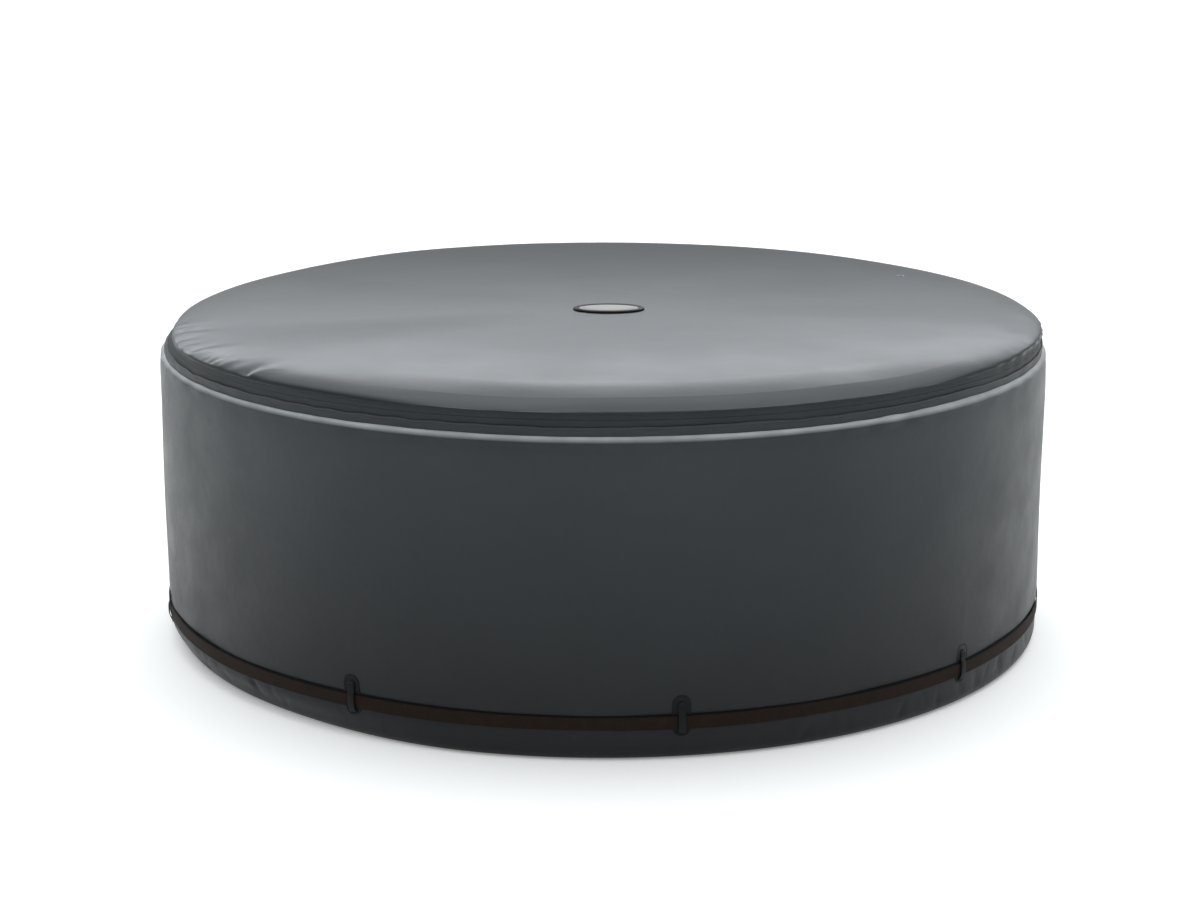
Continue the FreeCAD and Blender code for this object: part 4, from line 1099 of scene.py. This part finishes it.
def make_strap():
    """Ribbed webbing pulled tight round the foot, with a band of painted shadow along its top edge."""
    # The webbing runs 4.2 mm above the strap's top as a stepped strip that carries the painted shadow of
    # that gap.
    low, high = STRAP_LOW - 0.0003, STRAP_HIGH + 0.0042
    outer, inner = STRAP_RADIUS, STRAP_RADIUS - 0.0014
    bend = 0.0007
    radius, height = outline(
        arc((outer - bend, low + bend), bend, -90, 0, 3),
        (outer, low + bend), 12, (outer, high - 0.0044), 1, (outer - 0.0006, high - 0.0036), 3,
        (outer - 0.0006, high - bend),
        arc((outer - 0.0010, high - bend), 0.0004, 0, 180, 4),
        (inner, high - bend), 10, (inner, low + bend),
        arc((inner + bend, low + bend), bend, 180, 270, 3),
    )
    azimuth = AZIMUTH[None, :]
    drift = 0.0007 * ripple(azimuth, 3, 13, 61)
    lean = 0.0004 * ripple(azimuth, 5, 20, 62)
    points = place(azimuth, radius + lean * smooth(low, high, height), height + drift)
    strap = new_object("cinch_strap_webbing", points.reshape(-1, 3),
                       grid_faces(len(radius), COLUMNS, True, True), WEBBING, "tub")
    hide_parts("cinch_strap")


def make_port_rings():
    """Welded rings with a rounded bead round each coupling."""
    grids = []
    turn = np.linspace(0, 2 * math.pi, 64, endpoint=False)
    for pipe in PIPES:
        middle = middle_of(pipe)
        rows = []
        for reach, proud in ((0.0380, 0.0003), (0.0378, 0.0014), (0.0368, 0.0021), (0.0350, 0.0023),
                             (0.0336, 0.0017), (0.0300, 0.0017), (0.0240, 0.0018), (0.0232, 0.0010)):
            side = -middle.x + reach * np.cos(turn)
            rows.append(on_wall(BACK, side, on_cylinder(proud, side), middle.z + reach * np.sin(turn)))
        grids.append(np.array(rows))
    rings = gather_mesh("port_ring_welds", grids, JACKET, "tub")
    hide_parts("port_rings")


def inner_distance(node, azimuth):
    """A flat panel's inner distance from the axis along its azimuth."""
    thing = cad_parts[node]
    angle = math.radians(azimuth)
    ahead = Vector((math.sin(angle), -math.cos(angle), 0))
    return min((thing.matrix_world @ v.co).dot(ahead) for v in thing.data.vertices)


def make_panel(node, name, half, thick, material, body, seam=0.0, wobble=0.0):
    """An upright slab at the closure, with soft edges, an edge seam and a slightly uneven face."""
    low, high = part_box(node)
    middle = inner_distance(node, FLAP_AZIMUTH) + thick / 2
    bar = bar_section(half, thick)
    right, left = bar[:BAR_STEPS + 1], bar[BAR_STEPS + 1:]
    wide = np.linspace(right[-1, 0], left[0, 0], 11)[1:-1]
    face = np.stack([wide, np.full_like(wide, thick / 2)], axis=1)
    section = np.vstack([right, face, left, -face])
    heights = np.concatenate([[low.z, low.z + 0.0004], np.linspace(low.z + 0.0012, high.z - 0.0012, 90),
                              [high.z - 0.0004, high.z]])
    rows = []
    for index, up in enumerate(heights):
        ends = 0.6 if index in (0, len(heights) - 1) else 1.0
        across = section[:, 0]
        proud = section[:, 1] * ends
        outside = section[:, 1] > 0
        away = np.minimum(half - np.abs(across), min(up - low.z, high.z - up))
        stitch = -seam * np.exp(-((away - 0.006) / 0.0012) ** 2)
        uneven = wobble * math.sin(up * 23 + 1) * np.sin(across * 60 + up * 9)
        rows.append(on_wall(FLAP_AZIMUTH, across, middle + proud + (stitch + uneven) * outside, up))
    panel = gather_mesh(name, [close_ends(rows)], material, body)
    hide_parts(node)


# ---------------------------------------------------------------- badge

def oval_ring(middle, long_half, short_half, height, count=160):
    """A level oval of points round a middle."""
    turn = np.linspace(0, 2 * math.pi, count, endpoint=False)
    return np.stack([middle.x + long_half * np.cos(turn), middle.y + short_half * np.sin(turn),
                     np.full(count, height)], axis=1)


def make_badge():
    """A blank oval badge: a bevelled rim round a faintly domed plate with one engraved line."""
    low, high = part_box("badge_rim")
    middle = (low + high) / 2
    long_half, short_half = (high.x - low.x) / 2, (high.y - low.y) / 2
    border = 0.0150
    section = [(0.0005, low.z - 0.0004), (0.0, low.z + 0.0014), (0.0006, low.z + 0.0030),
               (0.0022, high.z - 0.0008), (0.0040, high.z), (0.0075, high.z + 0.0002),
               (0.0110, high.z - 0.0002), (0.0128, high.z - 0.0010), (border, high.z - 0.0024),
               (border + 0.0002, low.z)]
    rows = [oval_ring(middle, long_half - inset, short_half - inset, up) for inset, up in section]
    rim = gather_mesh("badge_rim_bevelled", [np.array(rows)], BRONZE, "lid", True)
    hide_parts("badge_rim")
    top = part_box("badge_face")[1].z
    long_half, short_half = long_half - border, short_half - border
    section = [(1.0, -0.0012), (1.0, -0.0001), (0.97, 0.0), (0.93, 0.0001), (0.925, -0.0006),
               (0.905, -0.0006), (0.90, 0.0002), (0.7, 0.0005), (0.4, 0.0008), (0.1, 0.0009)]
    rows = [oval_ring(middle, long_half * share, short_half * share, top + up) for share, up in section]
    plate = gather_mesh("badge_plate_domed", [close_ends(rows)[1:]], PLATE, "lid")
    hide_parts("badge_face")


def lid_height(x, y):
    """How high the lid's skin is over a point, without its puckers."""
    azimuth = np.array([[math.degrees(math.atan2(x, -y))]])
    radius, height = lid_profile(azimuth, np.linspace(0, 1, 301)[:, None])
    return float(np.interp(math.hypot(x, y), radius[:, 0], height[:, 0]))


def make_eyelet():
    """A rolled metal ring pressed into the lid."""
    low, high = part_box("lid_eyelet")
    middle = (low + high) / 2
    outer, hole = (high.x - low.x) / 2, 0.0056
    lie = lid_height(middle.x, middle.y)
    section = [(hole, -0.0040), (hole, 0.0006), (hole + 0.0010, 0.0016), (hole + 0.0024, 0.0020),
               (hole + 0.0040, 0.0016), (outer - 0.0004, 0.0006), (outer, -0.0006),
               (outer - 0.0010, -0.0040)]
    rows = [oval_ring(middle, radius, radius, lie + up, 48) for radius, up in section]
    ring = gather_mesh("lid_eyelet_rolled", [np.array(rows)], EYELET, "lid", True)
    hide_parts("lid_eyelet")


# ---------------------------------------------------------------- inside of the tub

WELL_COLUMNS = 720
WELL_AZIMUTH = round_azimuths(WELL_COLUMNS)[None, :]
# How full the film stands in each cell between two webs, from 0 at a web to 1.
CELLS = 24
CELL = np.abs(np.sin(np.radians(CELLS / 2 * (WELL_AZIMUTH - 180 / CELLS)))) ** 0.75


def make_inner_wall():
    """The film round the well: it bulges between the webs, and lies flat round the fittings."""
    low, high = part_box("tub_inner_wall")
    heights = np.linspace(low.z, high.z, 46)[:, None]
    full = smooth(low.z, low.z + 0.07, heights) * (1 - smooth(high.z - 0.06, high.z, heights))
    uneven = 0.0006 * ripple(WELL_AZIMUTH, 30, 90, 71) * full
    calm = 1 - window(WELL_AZIMUTH, BACK, 5, 3) * (1 - smooth(0.26, 0.32, heights))
    calm = calm * (1 - window(WELL_AZIMUTH, DRAIN_AZIMUTH, 2.5, 2) * (1 - smooth(0.08, 0.12, heights)))
    radius = high.x - 0.0006 - (0.0085 * CELL * full + uneven) * calm
    holes = [(side, 0.200, 0.0245, BACK) for side in (-0.065, 0.065)]
    holes += [(0.0, 0.020, 0.0095, BACK), (0.0, 0.040, 0.0125, DRAIN_AZIMUTH)]
    points = place(WELL_AZIMUTH, radius, heights)
    wall = skin("tub_inner_wall_film", points, PVC, "tub", FILM_THICK, holes)
    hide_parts("tub_inner_wall")


def make_top_ring():
    """The film over the top of the ring, with a groove over each web and a hole for the valve."""
    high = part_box("tub_top_ring")[1]
    inner, outer = 0.8108, high.x - 0.0002
    radius, height = outline((inner, high.z - 0.0016), 3, (inner + 0.004, high.z - 0.0004), 40,
                             (outer, high.z))
    between = smooth(inner + 0.01, inner + 0.06, radius) * (1 - smooth(0.99, 1.05, radius))
    from_web = apart(WELL_AZIMUTH * CELLS - 180, 0) / CELLS
    groove = -0.0030 * np.exp(-(from_web / 0.35) ** 2) * between
    points = place(WELL_AZIMUTH, radius, height + groove + 0.0006 * CELL * between)
    near = away_from("wall_valve_body", points)
    points[..., 2] += (high.z - 0.0002 - points[..., 2]) * (1 - smooth(0.028, 0.05, near))
    ring = new_object("tub_top_ring_film", points.reshape(-1, 3), faces_outside(near, 0.0235), PVC, "tub")
    thicken(ring, FILM_THICK)
    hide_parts("tub_top_ring")


def make_floor():
    """The floor of the well, which lies a little uneven."""
    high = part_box("tub_floor")[1]
    radius = np.concatenate([np.linspace(0.01, 0.76, 34), np.linspace(0.77, high.x - 0.0002, 8)])[:, None]
    points = place(WELL_AZIMUTH[:, ::3], radius, high.z)
    x, y = points[..., 0], points[..., 1]
    dents = 0.0007 * np.sin(x * 9 + 2 * np.sin(y * 7)) * np.sin(y * 11 + 1)
    points[..., 2] += dents * (1 - smooth(0.70, 0.80, radius))
    floor = skin("tub_floor_film", points, PVC, "tub")
    add_cap(floor.data, points[0].mean(axis=0), points.shape[1])
    thicken(floor, FILM_THICK)
    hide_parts("tub_floor")


def make_bubble_channel():
    """The air channel round the floor: a gathered tube with a weld along its top."""
    low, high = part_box("bubble_channel")
    middle = middle_of("bubble_channel").z
    half = (high.z - low.z) / 2
    turn = np.linspace(0, 2 * math.pi, 24, endpoint=False)[:, None]
    tube = half - 0.0003 - 0.0006 * (0.5 + 0.5 * np.cos(np.radians(WELL_AZIMUTH * 48)))
    weld = 0.0012 * np.exp(-((turn - math.pi / 2) / 0.12) ** 2)
    points = place(WELL_AZIMUTH, high.x - half + (tube + weld) * np.cos(turn), middle + tube * np.sin(turn))
    channel = new_object("bubble_channel_tube", points.reshape(-1, 3),
                         grid_faces(24, WELL_COLUMNS, True, True), PVC, "tub")
    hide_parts("bubble_channel")


make_outer_wall()
make_jacket()
make_collar()
make_zip_band()
make_hinge_strip()
make_lid()
make_liner()
make_bladder()
make_patches()
make_loops()
make_strap()
make_port_rings()
make_panel("closure_flap", "closure_flap_cloth", 0.034, 0.0018, JACKET, "closure_flap",
           0.0005, 0.0004)
make_panel("closure_loop_tape", "closure_loop_pile", 0.020, 0.0010, HOOKS, "closure_flap")
make_panel("closure_hook_tape", "closure_hook_pile", 0.022, 0.0010, HOOKS, "tub")
make_badge()
make_eyelet()
make_inner_wall()
make_top_ring()
make_floor()
make_bubble_channel()
